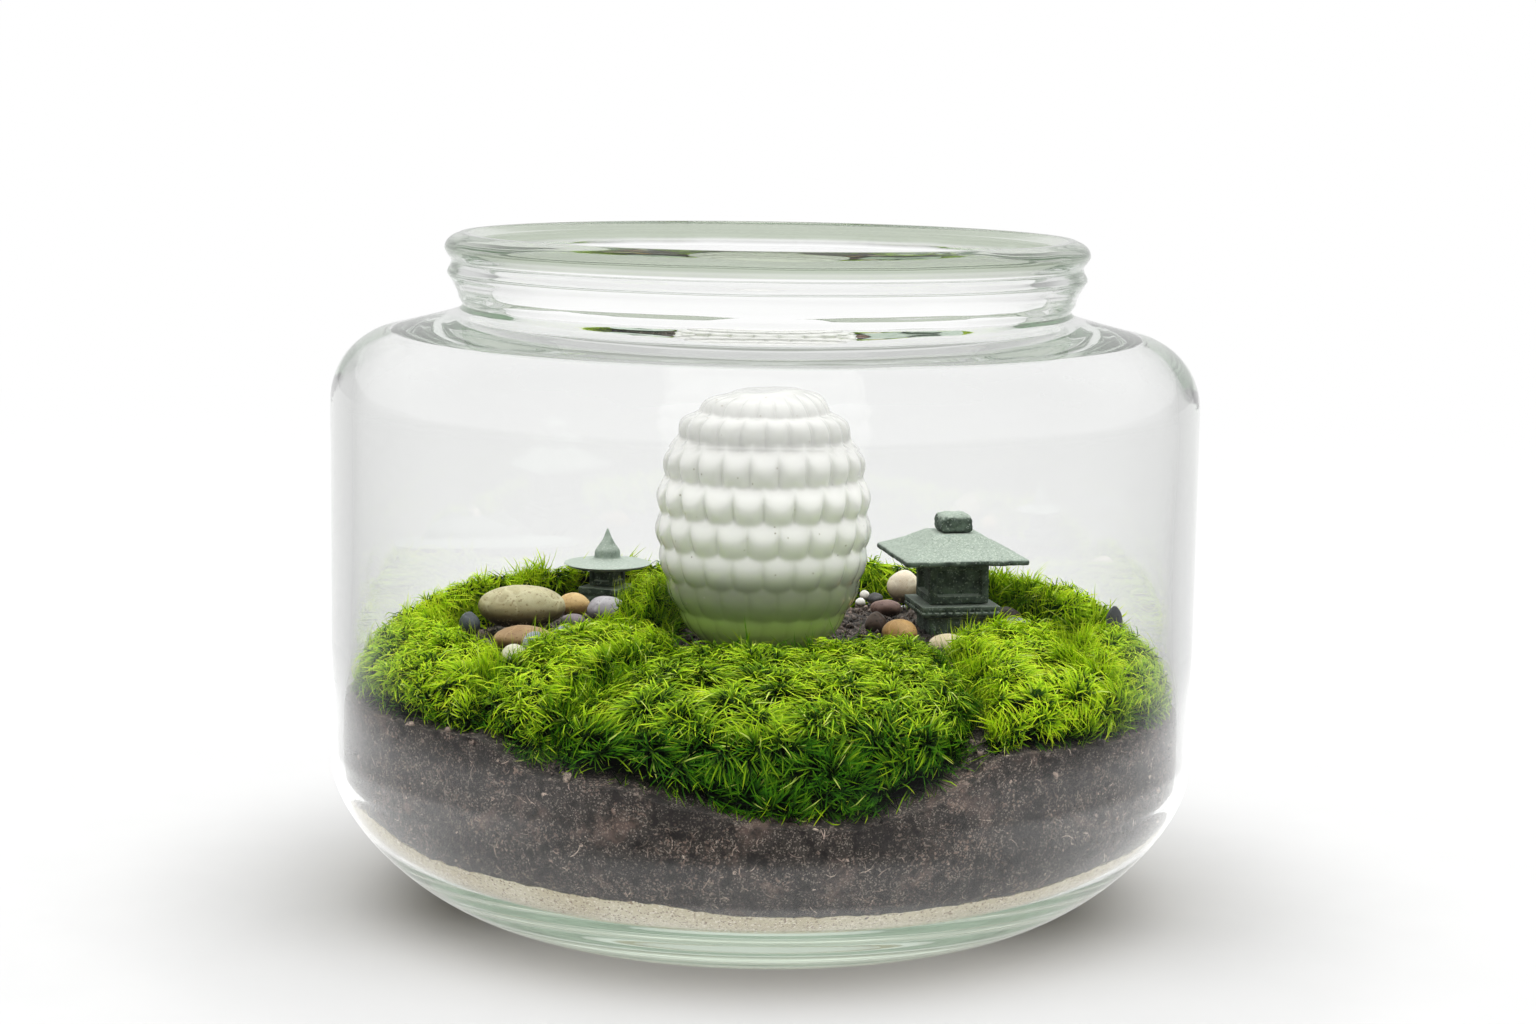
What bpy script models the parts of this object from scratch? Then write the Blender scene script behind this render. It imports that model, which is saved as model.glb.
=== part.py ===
"""A moss terrarium built in a wide-mouth glass jar.

The jar holds a bed of sand, a dish of dark soil, nine cushions of moss, a glazed ceramic ornament, two small
garden lanterns of stone and twenty pebbles. The front of the jar faces -Y, and the jar stands on z = 0.
Lengths are in millimetres in the named values, and MM turns them into metres.
"""

import math
from random import Random

import bmesh
import bpy
from mathutils import Matrix, Vector, noise

MM = 0.001
GAP = 0.3                     # clearance between pieces that touch
SEGMENTS = 44                 # sides of every piece turned with the jar
SHARP_ANGLE = math.radians(40)

# Glass jar
JAR_RADIUS = 100.0
JAR_HEIGHT = 155.0
WALL = 4.8
FLOOR = 7.5                   # thickness of the base
CORNER_POWER = 1.5            # roundness of the bottom corner, 2 is an ellipse
OUTER_CORNER = (35.4, 32.0)   # run and rise
INNER_CORNER = (28.0, 25.0)
CORNER_STEPS = 5
SHOULDER_LEVEL = 117.0        # where the wall starts to turn in
INNER_SHOULDER_LEVEL = 115.1
SHOULDER_TURN = (16.0, 16.5)  # run and rise of the round of the shoulder
SHOULDER_SWEEP = math.radians(72)
SHOULDER_STEPS = 3
# Outside of the neck as (radius, height): foot, neck, bead, notch and lip, up to the flat top of the lip
NECK_OUTSIDE = [(71.6, 137.4), (71.0, 140.5), (72.2, 143.6), (73.6, 146.0), (72.9, 148.2), (72.6, 149.6),
                (73.8, 151.4), (74.2, 153.0), (73.3, 154.5), (72.4, JAR_HEIGHT)]
NECK_INSIDE = [(69.2, 133.1), (67.2, 140.5), (67.2, 151.6), (68.0, 154.1), (69.9, JAR_HEIGHT)]

# Sand and soil, each a list of (azimuth in degrees, height at the glass)
# Azimuth 0 is the front, and +90 is the right
SAND_RIM = [(-180, 25.0), (-90, 28.5), (-65, 28.0), (-45, 23.5), (-15, 21.8), (0, 19.6), (15, 19.6),
            (35, 21.0), (55, 23.0), (90, 27.0), (180, 25.0)]
SAND_MIDDLE = 19.0
SAND_DISH_POWER = 3           # the sand is level in the middle and climbs near the glass
FLOOR_SHARES = (0.5, 1.0)     # rings on the flat of the floor
SURFACE_SHARES = (0.4, 0.8)   # rings on the sand's surface, from the middle towards the glass
SAND_SIDE_SHARES = (0.12, 0.4, 0.72, 1.0)
SOIL_RIM = [(-180, 54.0), (-120, 53.0), (-55, 51.5), (-38, 52.5), (-28, 46.0), (-18, 45.5), (-8, 42.0),
            (0, 38.8), (12, 38.2), (20, 41.5), (27, 46.5), (32, 51.5), (50, 50.0), (70, 49.0), (120, 53.0),
            (180, 54.0)]
SOIL_MIDDLE = 58.0
SOIL_RINGS = 7
SOIL_SLOPE_START = 46.0       # radius past which the soil falls towards its rim
SOIL_SLOPE_POWER = 1.5
SOIL_SIDE_STEPS = 3
CUTTER_MARGIN = 1.03          # the cutter below the moss reaches a little past the soil's rim

# Moss: name, height of the tips, and the plan of the cushion
MOSS_REACH = 94.2             # radius that the moss keeps to, just inside the glass
MOSS_POINTS = 18
MOSS_LEVELS = [(1.0, 0.0), (1.0, 0.45), (0.95, 0.74), (0.78, 0.93), (0.42, 1.0)]
MOSS_EDGE_DROP = 5.0          # how much lower the tips are at the glass
MOSS_DROP_START = 62.0
MOSS_ROOT_DEPTH = 3.0
MOSS_CUSHIONS = {
    "moss_front": (66.5, [(-42, -84), (-20, -93), (2, -95), (22, -92), (41, -85), (45, -62), (41, -34),
                          (38, -14), (22, -15), (14, -25), (0, -29), (-16, -26), (-25, -42), (-33, -62)]),
    "moss_front_left": (67.5, [(-45.5, -83), (-57, -75), (-57.5, -58), (-52, -40), (-50, -23), (-43, -8),
                               (-33, -4), (-26, -9), (-19, -24), (-28, -41), (-36, -62)]),
    "moss_left": (67.0, [(-60, -73), (-76, -57), (-88, -35), (-94, -8), (-94, 8), (-80, 11), (-74, -4),
                         (-66, -22), (-57, -36), (-60, -58)]),
    "moss_rear_left": (69.0, [(-94, 13), (-86, 39), (-71, 63), (-48, 82), (-23, 92), (-19, 84), (-31, 80),
                              (-42, 78.5), (-54, 72), (-60, 57), (-73, 35), (-79, 15)]),
    "moss_beside_ornament": (72.0, [(-25, -5), (-34, -1), (-36.5, 12), (-31, 23), (-27, 32), (-20, 39),
                                    (-14.5, 33), (-19.5, 22), (-24.5, 9)]),
    "moss_rear": (70.0, [(10, 94), (30, 90), (49, 80), (46, 75), (36, 79), (22, 76), (12, 80)]),
    "moss_rear_right": (70.5, [(52, 79), (70, 64), (84, 44), (90, 26), (80, 24.5), (71, 26), (68.5, 36),
                               (64, 48), (56, 55), (49, 67)]),
    "moss_right": (67.0, [(92, 9), (94, -10), (90, -31), (84, -45), (75, -40), (72, -20), (73, -4),
                          (80, 11)]),
    "moss_front_right": (67.5, [(47.5, -82), (64, -70), (80, -52), (71, -40), (68, -20), (69, -2), (64, 9),
                                (54, 4), (48, -6), (44, -16), (45, -36), (49, -62)]),
}

# Ceramic ornament, an egg with a flat top and foot, covered in staggered lobes
ORNAMENT_WIDEST = 88.0
ORNAMENT_RADIUS = 24.4
ORNAMENT_FOOT = 57.0
ORNAMENT_TOP = 119.3
ORNAMENT_LOWER_AXIS = 34.0
ORNAMENT_UPPER_AXIS = 32.0
ORNAMENT_UPPER_POWER = 2.3
LOBES = 21                    # in each row
LOBE_ROWS = 9                 # spaced evenly along the egg's outline
LOBE_HEIGHT = 1.0
LOBE_DIP = 1.1
OUTLINE_STEPS = 120

# Large lantern, square tiers turned a little to the left
LANTERN_PLACE = (46.6, 32.5)
LANTERN_TURN = math.radians(10.7)
LANTERN_FOOT = (14.6, 56.4, 62.4)          # side, bottom, top
LANTERN_PLATFORM = (19.8, 62.4, 65.5)
PLATFORM_GROOVE = (63.6, 64.2, 0.7)        # lower level, upper level, depth
LANTERN_BOX = (14.9, 65.5, 75.9)
BOX_POST = 2.2                # width of the post at each corner of the light box
BOX_RECESS = 1.3              # how deep its windows are sunk
WINDOW_SPLAY = 0.3            # share of the recess by which a window narrows
PLATFORM_CHAMFER = (1.0, 0.5)
GROOVE_CHAMFER = 0.1
LANTERN_EAVE = (31.2, 75.9, 77.2)
LANTERN_RIDGE = (11.6, 82.6)
LANTERN_HIP = (19.5, 79.9)                 # a level half way up, a little hollow
LANTERN_FINIAL = (7.9, 82.6, 85.6)
FINIAL_CHAMFER = (1.0, 0.7)
FINIAL_CROWN = (5.2, 87.0)
ROOF_WEAR = 0.35              # width of the bevel on worn edges
FINIAL_WEAR = 0.5

# Small lantern with a round roof
SMALL_PLACE = (-40.3, 64.0)
SMALL_TURN = math.radians(-24.0)
SMALL_PLATE = (11.2, 57.8, 62.6)
SMALL_STEP = (10.0, 60.4)                  # side and level of the lower step
SMALL_STEP_RISE = 0.3
SMALL_BOX = (6.9, 62.6, 67.3)
SMALL_BOX_POST = 1.2
SMALL_BOX_RECESS = 0.6
SMALL_ROOF = [(0, 67.3), (9.6, 67.3), (11.0, 67.9), (10.9, 68.3), (6.5, 68.7), (3.6, 69.4), (3.1, 71.4),
              (1.9, 73.2), (0.9, 75.0), (0.3, 76.6), (0, 77.0)]
SMALL_SIDES = 16

# Stones: name, place of the middle (x, y, z), size (length, depth, height), turn in degrees and colour
STONES = {
    "stone_beige": ((-58.8, 24.0, 63.4), (21.6, 12.0, 10.4), 2, (0.52, 0.46, 0.30)),
    "stone_tan": ((-56.0, 0.4, 59.8), (14.4, 9.0, 6.4), 0, (0.36, 0.24, 0.11)),
    "stone_charcoal": ((-70.8, 16.2, 60.0), (5.2, 5.2, 6.0), 20, (0.06, 0.065, 0.07)),
    "stone_small_grey": ((-52.6, -9.8, 60.4), (5.6, 4.4, 6.2), 0, (0.22, 0.23, 0.25)),
    "stone_small_white": ((-56.6, -15.6, 58.8), (6.4, 5.0, 5.6), 10, (0.60, 0.56, 0.42)),
    "stone_honey": ((-47.2, 39.2, 61.4), (8.4, 7.0, 6.0), 0, (0.50, 0.31, 0.10)),
    "stone_lilac": ((-38.4, 32.6, 61.4), (10.0, 7.6, 6.8), -8, (0.24, 0.23, 0.25)),
    "stone_purple": ((-46.6, 29.6, 59.0), (6.4, 5.0, 3.6), -6, (0.15, 0.12, 0.13)),
    "stone_blue_grey": ((-47.4, 13.6, 59.2), (5.6, 4.2, 3.6), 12, (0.20, 0.22, 0.25)),
    "stone_pink_white": ((36.4, 70.4, 62.2), (8.6, 6.6, 8.4), 0, (0.66, 0.53, 0.38)),
    "stone_small_dark": ((29.2, 66.4, 59.4), (3.8, 3.4, 3.6), 0, (0.07, 0.07, 0.07)),
    "stone_red_brown": ((31.2, 53.2, 59.2), (7.6, 6.0, 4.6), 8, (0.20, 0.11, 0.09)),
    "stone_umber": ((27.9, 28.0, 59.6), (5.2, 5.2, 6.2), 0, (0.09, 0.06, 0.045)),
    "stone_orange": ((33.0, 15.2, 59.8), (8.6, 7.2, 7.0), -10, (0.50, 0.26, 0.06)),
    "stone_cream": ((44.4, 8.4, 58.4), (9.2, 6.6, 5.4), 0, (0.55, 0.47, 0.34)),
    "stone_grey": ((62.6, 29.6, 59.0), (9.4, 7.2, 4.8), 0, (0.30, 0.31, 0.33)),
    "stone_dark_brown": ((61.2, 39.8, 59.2), (8.4, 7.2, 6.4), 0, (0.07, 0.055, 0.05)),
    "stone_white_left": ((26.6, 72.0, 59.4), (2.6, 2.4, 2.6), 0, (0.75, 0.73, 0.68)),
    "stone_white_right": ((25.2, 61.6, 59.2), (2.6, 2.4, 2.6), 0, (0.75, 0.73, 0.68)),
    "stone_slate": ((86.0, 18.2, 61.0), (5.0, 5.0, 12.0), 0, (0.06, 0.06, 0.065)),
}
LARGE_STONE = 16.0            # stones longer than this get the finer mesh
STONE_UNEVENNESS = 0.07
STONE_WAVE = 1.1              # how quickly the unevenness changes along a stone
NOISE_RANGE = 50.0            # each stone reads its own part of the noise

# Prints in the soil
PRINT_HEIGHT = 10.0           # how far a lantern's print reaches up, clear of the soil
EGG_PRINT_RISE = 3.0          # level on the egg where its print is as wide as the egg
EGG_PRINT_HEIGHT = 8.0
EGG_PRINT_SIDES = 24

# Colours (linear) and finish of the other pieces: colour, roughness, metallic
GLASS = ((0.80, 0.92, 0.86), 0.02, 0.0)
SAND = ((0.62, 0.53, 0.38), 0.95, 0.0)
SOIL = ((0.055, 0.040, 0.032), 0.95, 0.0)
MOSS = ((0.16, 0.36, 0.015), 0.75, 0.0)
GLAZE = ((0.80, 0.80, 0.77), 0.18, 0.0)
GREEN_STONE = ((0.22, 0.28, 0.24), 0.80, 0.0)
STONE_ROUGHNESS = 0.55


def clear_scene():
    for thing in list(bpy.data.objects):
        bpy.data.objects.remove(thing, do_unlink=True)


def finish_material(name, colour, roughness, metallic=0.0):
    material = bpy.data.materials.new(name)
    material.use_nodes = True
    shader = material.node_tree.nodes["Principled BSDF"]
    shader.inputs["Base Color"].default_value = (*colour, 1.0)
    shader.inputs["Roughness"].default_value = roughness
    shader.inputs["Metallic"].default_value = metallic
    return material


def add_object(name, mesh_tool, material):
    """Turn a bmesh whose coordinates are in millimetres into an object of the scene."""
    bmesh.ops.scale(mesh_tool, vec=(MM, MM, MM), verts=mesh_tool.verts)
    bmesh.ops.recalc_face_normals(mesh_tool, faces=mesh_tool.faces)
    mesh = bpy.data.meshes.new(name)
    mesh_tool.to_mesh(mesh)
    mesh_tool.free()
    mesh.shade_smooth()
    mesh.set_sharp_from_angle(angle=SHARP_ANGLE)
    mesh.materials.append(material)
    thing = bpy.data.objects.new(name, mesh)
    bpy.context.scene.collection.objects.link(thing)
    return thing


def make_cutter(thing):
    thing.hide_render = True
    thing.display_type = "WIRE"
    return thing


def cut_with(thing, cutter):
    cut = thing.modifiers.new("cut", "BOOLEAN")
    cut.operation = "DIFFERENCE"
    cut.solver = "EXACT"
    cut.object = cutter


def on_circle(radius, azimuth_deg, z):
    """A point at an azimuth counted from the front, -Y, towards the right, +X."""
    azimuth = math.radians(azimuth_deg)
    return Vector((radius * math.sin(azimuth), -radius * math.cos(azimuth), z))


def rim_height(rim, azimuth_deg):
    """Height along a rim at an azimuth, eased between the rim's own points."""
    for (a0, z0), (a1, z1) in zip(rim, rim[1:]):
        if a0 <= azimuth_deg <= a1:
            share = (azimuth_deg - a0) / (a1 - a0)
            return z0 + (z1 - z0) * share * share * (3 - 2 * share)
    raise ValueError("azimuth outside the rim")


# The jar

def corner_points(radius, floor, corner):
    """The rounded corner from the base, at floor, out to the wall, as (radius, height)."""
    run, rise = corner
    points = []
    for step in range(CORNER_STEPS + 1):
        angle = math.pi / 2 * step / CORNER_STEPS
        points.append((radius - run + run * math.sin(angle) ** (2 / CORNER_POWER),
                       floor + rise - rise * math.cos(angle) ** (2 / CORNER_POWER)))
    return points


def shoulder_points(radius, level):
    """The round of the shoulder, from the wall inwards. A straight slope leads on to the neck's foot."""
    run, rise = SHOULDER_TURN
    points = []
    for step in range(SHOULDER_STEPS + 1):
        angle = SHOULDER_SWEEP * step / SHOULDER_STEPS
        points.append((radius - run * (1 - math.cos(angle)), level + rise * math.sin(angle)))
    return points


def outer_profile():
    """The outside of the jar, from the base's middle up to the lip."""
    return ([(0.0, 0.0)] + corner_points(JAR_RADIUS, 0.0, OUTER_CORNER)
            + shoulder_points(JAR_RADIUS, SHOULDER_LEVEL) + NECK_OUTSIDE)


def inner_profile():
    """The inside of the jar, from the floor's middle up to the lip."""
    inside = JAR_RADIUS - WALL
    return ([(0.0, FLOOR)] + corner_points(inside, FLOOR, INNER_CORNER)
            + shoulder_points(inside, INNER_SHOULDER_LEVEL) + NECK_INSIDE)


def inner_radius(z):
    """Radius of the jar's inside at a height, read from its own profile."""
    profile = inner_profile()[1:]
    for (r0, z0), (r1, z1) in zip(profile, profile[1:]):
        if z0 <= z <= z1:
            return r0 + (r1 - r0) * (z - z0) / (z1 - z0)
    return profile[0][0]


def turned(name, profile, material, sides=SEGMENTS, middle=(0.0, 0.0)):
    """A closed solid turned about the vertical, from a profile that starts and ends on the axis."""
    tool = bmesh.new()
    chain = [tool.verts.new((radius, 0.0, z)) for radius, z in profile]
    edges = [tool.edges.new(pair) for pair in zip(chain, chain[1:])]
    bmesh.ops.spin(tool, geom=chain + edges, cent=(0, 0, 0), axis=(0, 0, 1), angle=math.tau,
                   steps=sides, use_duplicate=False)
    bmesh.ops.remove_doubles(tool, verts=tool.verts, dist=0.001)
    bmesh.ops.translate(tool, verts=tool.verts, vec=(*middle, 0.0))
    return add_object(name, tool, material)


def make_jar():
    profile = outer_profile() + inner_profile()[::-1]
    return turned("glass_jar", profile, finish_material("jar_glass", *GLASS))


# Sand and soil

def sand_height(azimuth_deg, share):
    """Height of the sand at a share of the way from the middle to the glass."""
    rim = rim_height(SAND_RIM, azimuth_deg)
    return SAND_MIDDLE + (rim - SAND_MIDDLE) * share ** SAND_DISH_POWER


def ground_height(x, y):
    """Height of the soil under a point of the plan."""
    radius = math.hypot(x, y)
    azimuth = math.degrees(math.atan2(x, -y))
    fall = max(0.0, (radius - SOIL_SLOPE_START) / (JAR_RADIUS - WALL - SOIL_SLOPE_START))
    return SOIL_MIDDLE + (rim_height(SOIL_RIM, azimuth) - SOIL_MIDDLE) * min(1.0, fall) ** SOIL_SLOPE_POWER


def azimuths():
    """The azimuth of each corner of the jar's turned surface."""
    return [((step / SEGMENTS * 360 + 90 + 180) % 360) - 180 for step in range(SEGMENTS)]


def layer(name, bottom_rings, top_rings, material):
    """A closed solid from rings of points, both lists running from the middle outwards."""
    tool = bmesh.new()
    loops = [[tool.verts.new(point) for point in ring] for ring in bottom_rings + top_rings[::-1]]
    for lower, upper in zip(loops, loops[1:]):
        for here in range(SEGMENTS):
            there = (here + 1) % SEGMENTS
            tool.faces.new((lower[here], lower[there], upper[there], upper[here]))
    for ring, side in ((loops[0], bottom_rings), (loops[-1], top_rings)):
        middle = tool.verts.new(sum(side[0], Vector()) / SEGMENTS)
        for here in range(SEGMENTS):
            tool.faces.new((middle, ring[here], ring[(here + 1) % SEGMENTS]))
    bmesh.ops.triangulate(tool, faces=tool.faces, quad_method="FIXED")
    return add_object(name, tool, material)


def glass_ring(height_of):
    """A ring just inside the glass, at a height that may change with the azimuth."""
    ring = []
    for azimuth in azimuths():
        z = height_of(azimuth)
        ring.append(on_circle(inner_radius(z) - GAP, azimuth, z))
    return ring


def make_sand(material):
    """The sand lies on the jar's floor and follows the round of its corner."""
    floor_level = FLOOR + GAP
    flat_radius = JAR_RADIUS - WALL - INNER_CORNER[0] - 1.0
    bottom = [[on_circle(flat_radius * share, azimuth, floor_level) for azimuth in azimuths()]
              for share in FLOOR_SHARES]
    for share in SAND_SIDE_SHARES:
        bottom.append(glass_ring(lambda azimuth: floor_level
                                 + (sand_height(azimuth, 1.0) - floor_level) * share))
    top = []
    for share in SURFACE_SHARES:
        top.append([on_circle(share * bottom[-1][0].xy.length, azimuth, sand_height(azimuth, share))
                    for azimuth in azimuths()])
    return layer("sand_layer", bottom, top, material)


def soil_top_rings(raise_by):
    """Rings of the soil's surface from the middle to its rim at the glass."""
    rim = glass_ring(lambda azimuth: rim_height(SOIL_RIM, azimuth))
    rings = []
    for ring in range(1, SOIL_RINGS):
        points = []
        for edge in rim:
            x, y = edge.x * ring / SOIL_RINGS, edge.y * ring / SOIL_RINGS
            points.append(Vector((x, y, ground_height(x, y) + raise_by)))
        rings.append(points)
    rings.append([Vector((edge.x, edge.y, edge.z + raise_by)) for edge in rim])
    return rings


def make_soil(material):
    """The soil lies on the sand, fills the jar to the glass and dips at the front."""
    bottom = []
    for share in SURFACE_SHARES:
        bottom.append([on_circle(share * inner_radius(SAND_RIM[0][1]), azimuth,
                                 sand_height(azimuth, share) + 2 * GAP) for azimuth in azimuths()])
    for share in [step / SOIL_SIDE_STEPS for step in range(SOIL_SIDE_STEPS)]:
        bottom.append(glass_ring(lambda azimuth: (sand_height(azimuth, 1.0) + 2 * GAP) * (1 - share)
                                 + rim_height(SOIL_RIM, azimuth) * share))
    return layer("soil", bottom, soil_top_rings(0.0), material)


def ground_cutter(material):
    """All that lies below the soil's surface, to cut the moss to it."""
    top = soil_top_rings(GAP)
    top.append([Vector((edge.x * CUTTER_MARGIN, edge.y * CUTTER_MARGIN, edge.z)) for edge in top[-1]])
    bottom = [[Vector((edge.x, edge.y, FLOOR)) for edge in top[2]],
              [Vector((edge.x, edge.y, FLOOR)) for edge in top[-1]]]
    return make_cutter(layer("ground_below_moss", bottom, top, material))


# Moss

def smooth_outline(corners, count):
    """Points along a closed smooth curve through a cushion's plan, kept inside the glass."""
    total = len(corners)
    points = []
    for step in range(count):
        place = step / count * total
        first = int(place)
        share = place - first
        p0, p1, p2, p3 = (Vector(corners[(first + shift) % total]) for shift in (-1, 0, 1, 2))
        point = 0.5 * (2 * p1 + (p2 - p0) * share + (2 * p0 - 5 * p1 + 4 * p2 - p3) * share ** 2
                       + (3 * p1 - p0 - 3 * p2 + p3) * share ** 3)
        points.append(point * min(1.0, MOSS_REACH / point.length))
    return points


def tip_height(crown, x, y):
    fall = max(0.0, (math.hypot(x, y) - MOSS_DROP_START) / (MOSS_REACH - MOSS_DROP_START))
    return crown - MOSS_EDGE_DROP * fall ** 2


def make_moss_cushion(name, crown, corners, ground, material):
    """A rounded cushion with upright sides and a domed top, cut off at the soil."""
    outline = smooth_outline(corners, MOSS_POINTS)
    middle = sum(outline, Vector((0, 0))) / MOSS_POINTS
    root = min(ground_height(*point) for point in outline) - MOSS_ROOT_DEPTH
    tool = bmesh.new()
    loops = []
    for scale, share in MOSS_LEVELS:
        loop = []
        for point in outline:
            x, y = middle + (point - middle) * scale
            start = ground_height(x, y) if share else root
            loop.append(tool.verts.new((x, y, start + (tip_height(crown, x, y) - start) * share)))
        loops.append(loop)
    for lower, upper in zip(loops, loops[1:]):
        for here in range(MOSS_POINTS):
            there = (here + 1) % MOSS_POINTS
            tool.faces.new((lower[here], lower[there], upper[there], upper[here]))
    tool.faces.new(loops[0][::-1])
    peak = tool.verts.new((*middle, tip_height(crown, *middle)))
    for here in range(MOSS_POINTS):
        tool.faces.new((peak, loops[-1][here], loops[-1][(here + 1) % MOSS_POINTS]))
    cushion = add_object(name, tool, material)
    cut_with(cushion, ground)


# Ceramic ornament

def ornament_radius(z):
    """Radius of the plain egg under the lobes."""
    if z < ORNAMENT_WIDEST:
        drop = (ORNAMENT_WIDEST - z) / ORNAMENT_LOWER_AXIS
        return ORNAMENT_RADIUS * math.sqrt(1 - drop ** 2)
    climb = (z - ORNAMENT_WIDEST) / ORNAMENT_UPPER_AXIS
    return ORNAMENT_RADIUS * (1 - climb ** ORNAMENT_UPPER_POWER) ** (1 / ORNAMENT_UPPER_POWER)


def ornament_levels():
    """The height of each row of lobes, evenly spaced along the outline from the foot to the flat top."""
    span = ORNAMENT_TOP - ORNAMENT_FOOT
    heights = [ORNAMENT_FOOT + span * step / OUTLINE_STEPS for step in range(OUTLINE_STEPS + 1)]
    walked = [0.0]
    for low, high in zip(heights, heights[1:]):
        walked.append(walked[-1] + math.hypot(high - low, ornament_radius(high) - ornament_radius(low)))
    targets = [walked[-1] * row / LOBE_ROWS for row in range(LOBE_ROWS)]
    return [next(z for z, way in zip(heights, walked) if way >= target) for target in targets]


def make_ornament(material):
    """Each row has a ring of points that go out on a lobe and in between two lobes, and rows are staggered.

    Every square between four points is split along the line that joins its two inward points, so that each
    outward point stands alone as a lobe.
    """
    sides = 2 * LOBES
    tool = bmesh.new()
    rings = []
    for row, z in enumerate(ornament_levels()):
        swell = min(1.0, row / 3)
        ring = []
        for side in range(sides):
            lobe = LOBE_HEIGHT if (side + row) % 2 == 0 else -LOBE_DIP
            ring.append(tool.verts.new(on_circle(ornament_radius(z) + lobe * swell, side * 360 / sides, z)))
        rings.append(ring)
    rings.append([tool.verts.new(on_circle(ornament_radius(ORNAMENT_TOP), side * 360 / sides,
                                           ORNAMENT_TOP - LOBE_DIP)) for side in range(sides)])
    for row, (lower, upper) in enumerate(zip(rings, rings[1:])):
        for side in range(sides):
            after = (side + 1) % sides
            corners = [lower[side], lower[after], upper[after], upper[side]]
            if (side + row) % 2:
                corners = corners[1:] + corners[:1]
            lobe_a, inward_a, lobe_b, inward_b = corners
            tool.faces.new((lobe_a, inward_a, inward_b))
            tool.faces.new((inward_a, lobe_b, inward_b))
    for ring, z in ((rings[0], ORNAMENT_FOOT), (rings[-1], ORNAMENT_TOP)):
        middle = tool.verts.new((0, 0, z))
        for side in range(sides):
            tool.faces.new((middle, ring[side], ring[(side + 1) % sides]))
    return add_object("ceramic_ornament", tool, material)


# Lanterns

def square_tiers(name, levels, place, turn, material):
    """A solid of square sections, given as (side, height) from the bottom up."""
    tool = bmesh.new()
    loops = []
    for side, z in levels:
        half = side / 2
        loops.append([tool.verts.new((x * half, y * half, z))
                      for x, y in ((-1, -1), (1, -1), (1, 1), (-1, 1))])
    for lower, upper in zip(loops, loops[1:]):
        for here in range(4):
            there = (here + 1) % 4
            tool.faces.new((lower[here], lower[there], upper[there], upper[here]))
    tool.faces.new(loops[0][::-1])
    tool.faces.new(loops[-1])
    matrix = Matrix.Translation((*place, 0.0)) @ Matrix.Rotation(turn, 4, "Z")
    bmesh.ops.transform(tool, matrix=matrix, verts=tool.verts)
    return add_object(name, tool, material)


def light_box(name, sizes, post, recess, place, turn, material):
    """A square box with a sunk window on each side, which leaves a post at each corner."""
    side, bottom, top = sizes
    tool = bmesh.new()
    bmesh.ops.create_cube(tool, size=1.0)
    bmesh.ops.scale(tool, vec=(side, side, top - bottom), verts=tool.verts)
    bmesh.ops.translate(tool, vec=(0, 0, (bottom + top) / 2), verts=tool.verts)
    tool.normal_update()
    windows = [face for face in tool.faces if abs(face.normal.z) < 0.5]
    bmesh.ops.inset_individual(tool, faces=windows, thickness=post, depth=0.0)
    bmesh.ops.inset_individual(tool, faces=windows, thickness=recess * WINDOW_SPLAY,
                                 depth=-recess)
    matrix = Matrix.Translation((*place, 0.0)) @ Matrix.Rotation(turn, 4, "Z")
    bmesh.ops.transform(tool, matrix=matrix, verts=tool.verts)
    return add_object(name, tool, material)


def bevel_edges(thing, width):
    bevel = thing.modifiers.new("worn edges", "BEVEL")
    bevel.width = width * MM
    bevel.segments = 1
    bevel.limit_method = "ANGLE"


def make_lantern(material):
    """Foot, platform, light box, roof and finial stand on each other with a hair's clearance."""
    place, turn = LANTERN_PLACE, LANTERN_TURN
    side, bottom, top = LANTERN_FOOT
    square_tiers("lantern_foot", [(side, bottom), (side, top - GAP)], place, turn, material)
    side, bottom, top = LANTERN_PLATFORM
    low, high, depth = PLATFORM_GROOVE
    narrower, rise = PLATFORM_CHAMFER
    inner = side - 2 * depth
    platform = [(side - narrower, bottom), (side, bottom + rise), (side, low), (inner, low + GROOVE_CHAMFER),
                (inner, high - GROOVE_CHAMFER), (side, high), (side, top - GAP)]
    square_tiers("lantern_platform", platform, place, turn, material)
    side, bottom, top = LANTERN_BOX
    light_box("lantern_light_box", (side, bottom, top - GAP), BOX_POST, BOX_RECESS, place, turn, material)
    side, bottom, top = LANTERN_EAVE
    roof = [(side, bottom), (side, top), LANTERN_HIP, (LANTERN_RIDGE[0], LANTERN_RIDGE[1] - GAP)]
    bevel_edges(square_tiers("lantern_roof", roof, place, turn, material), ROOF_WEAR)
    side, bottom, top = LANTERN_FINIAL
    narrower, rise = FINIAL_CHAMFER
    finial = [(side, bottom), (side, top), (side - narrower, top + rise), FINIAL_CROWN]
    bevel_edges(square_tiers("lantern_finial", finial, place, turn, material), FINIAL_WEAR)


def make_small_lantern(material):
    side, bottom, top = SMALL_PLATE
    step_side, step_level = SMALL_STEP
    plate = [(step_side, bottom), (step_side, step_level), (side, step_level + SMALL_STEP_RISE),
             (side, top - GAP)]
    square_tiers("small_lantern_base", plate, SMALL_PLACE, SMALL_TURN, material)
    side, bottom, top = SMALL_BOX
    light_box("small_lantern_light_box", (side, bottom, top - GAP), SMALL_BOX_POST, SMALL_BOX_RECESS,
              SMALL_PLACE, SMALL_TURN, material)
    turned("small_lantern_roof", SMALL_ROOF, material, SMALL_SIDES, SMALL_PLACE)


# Stones

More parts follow.
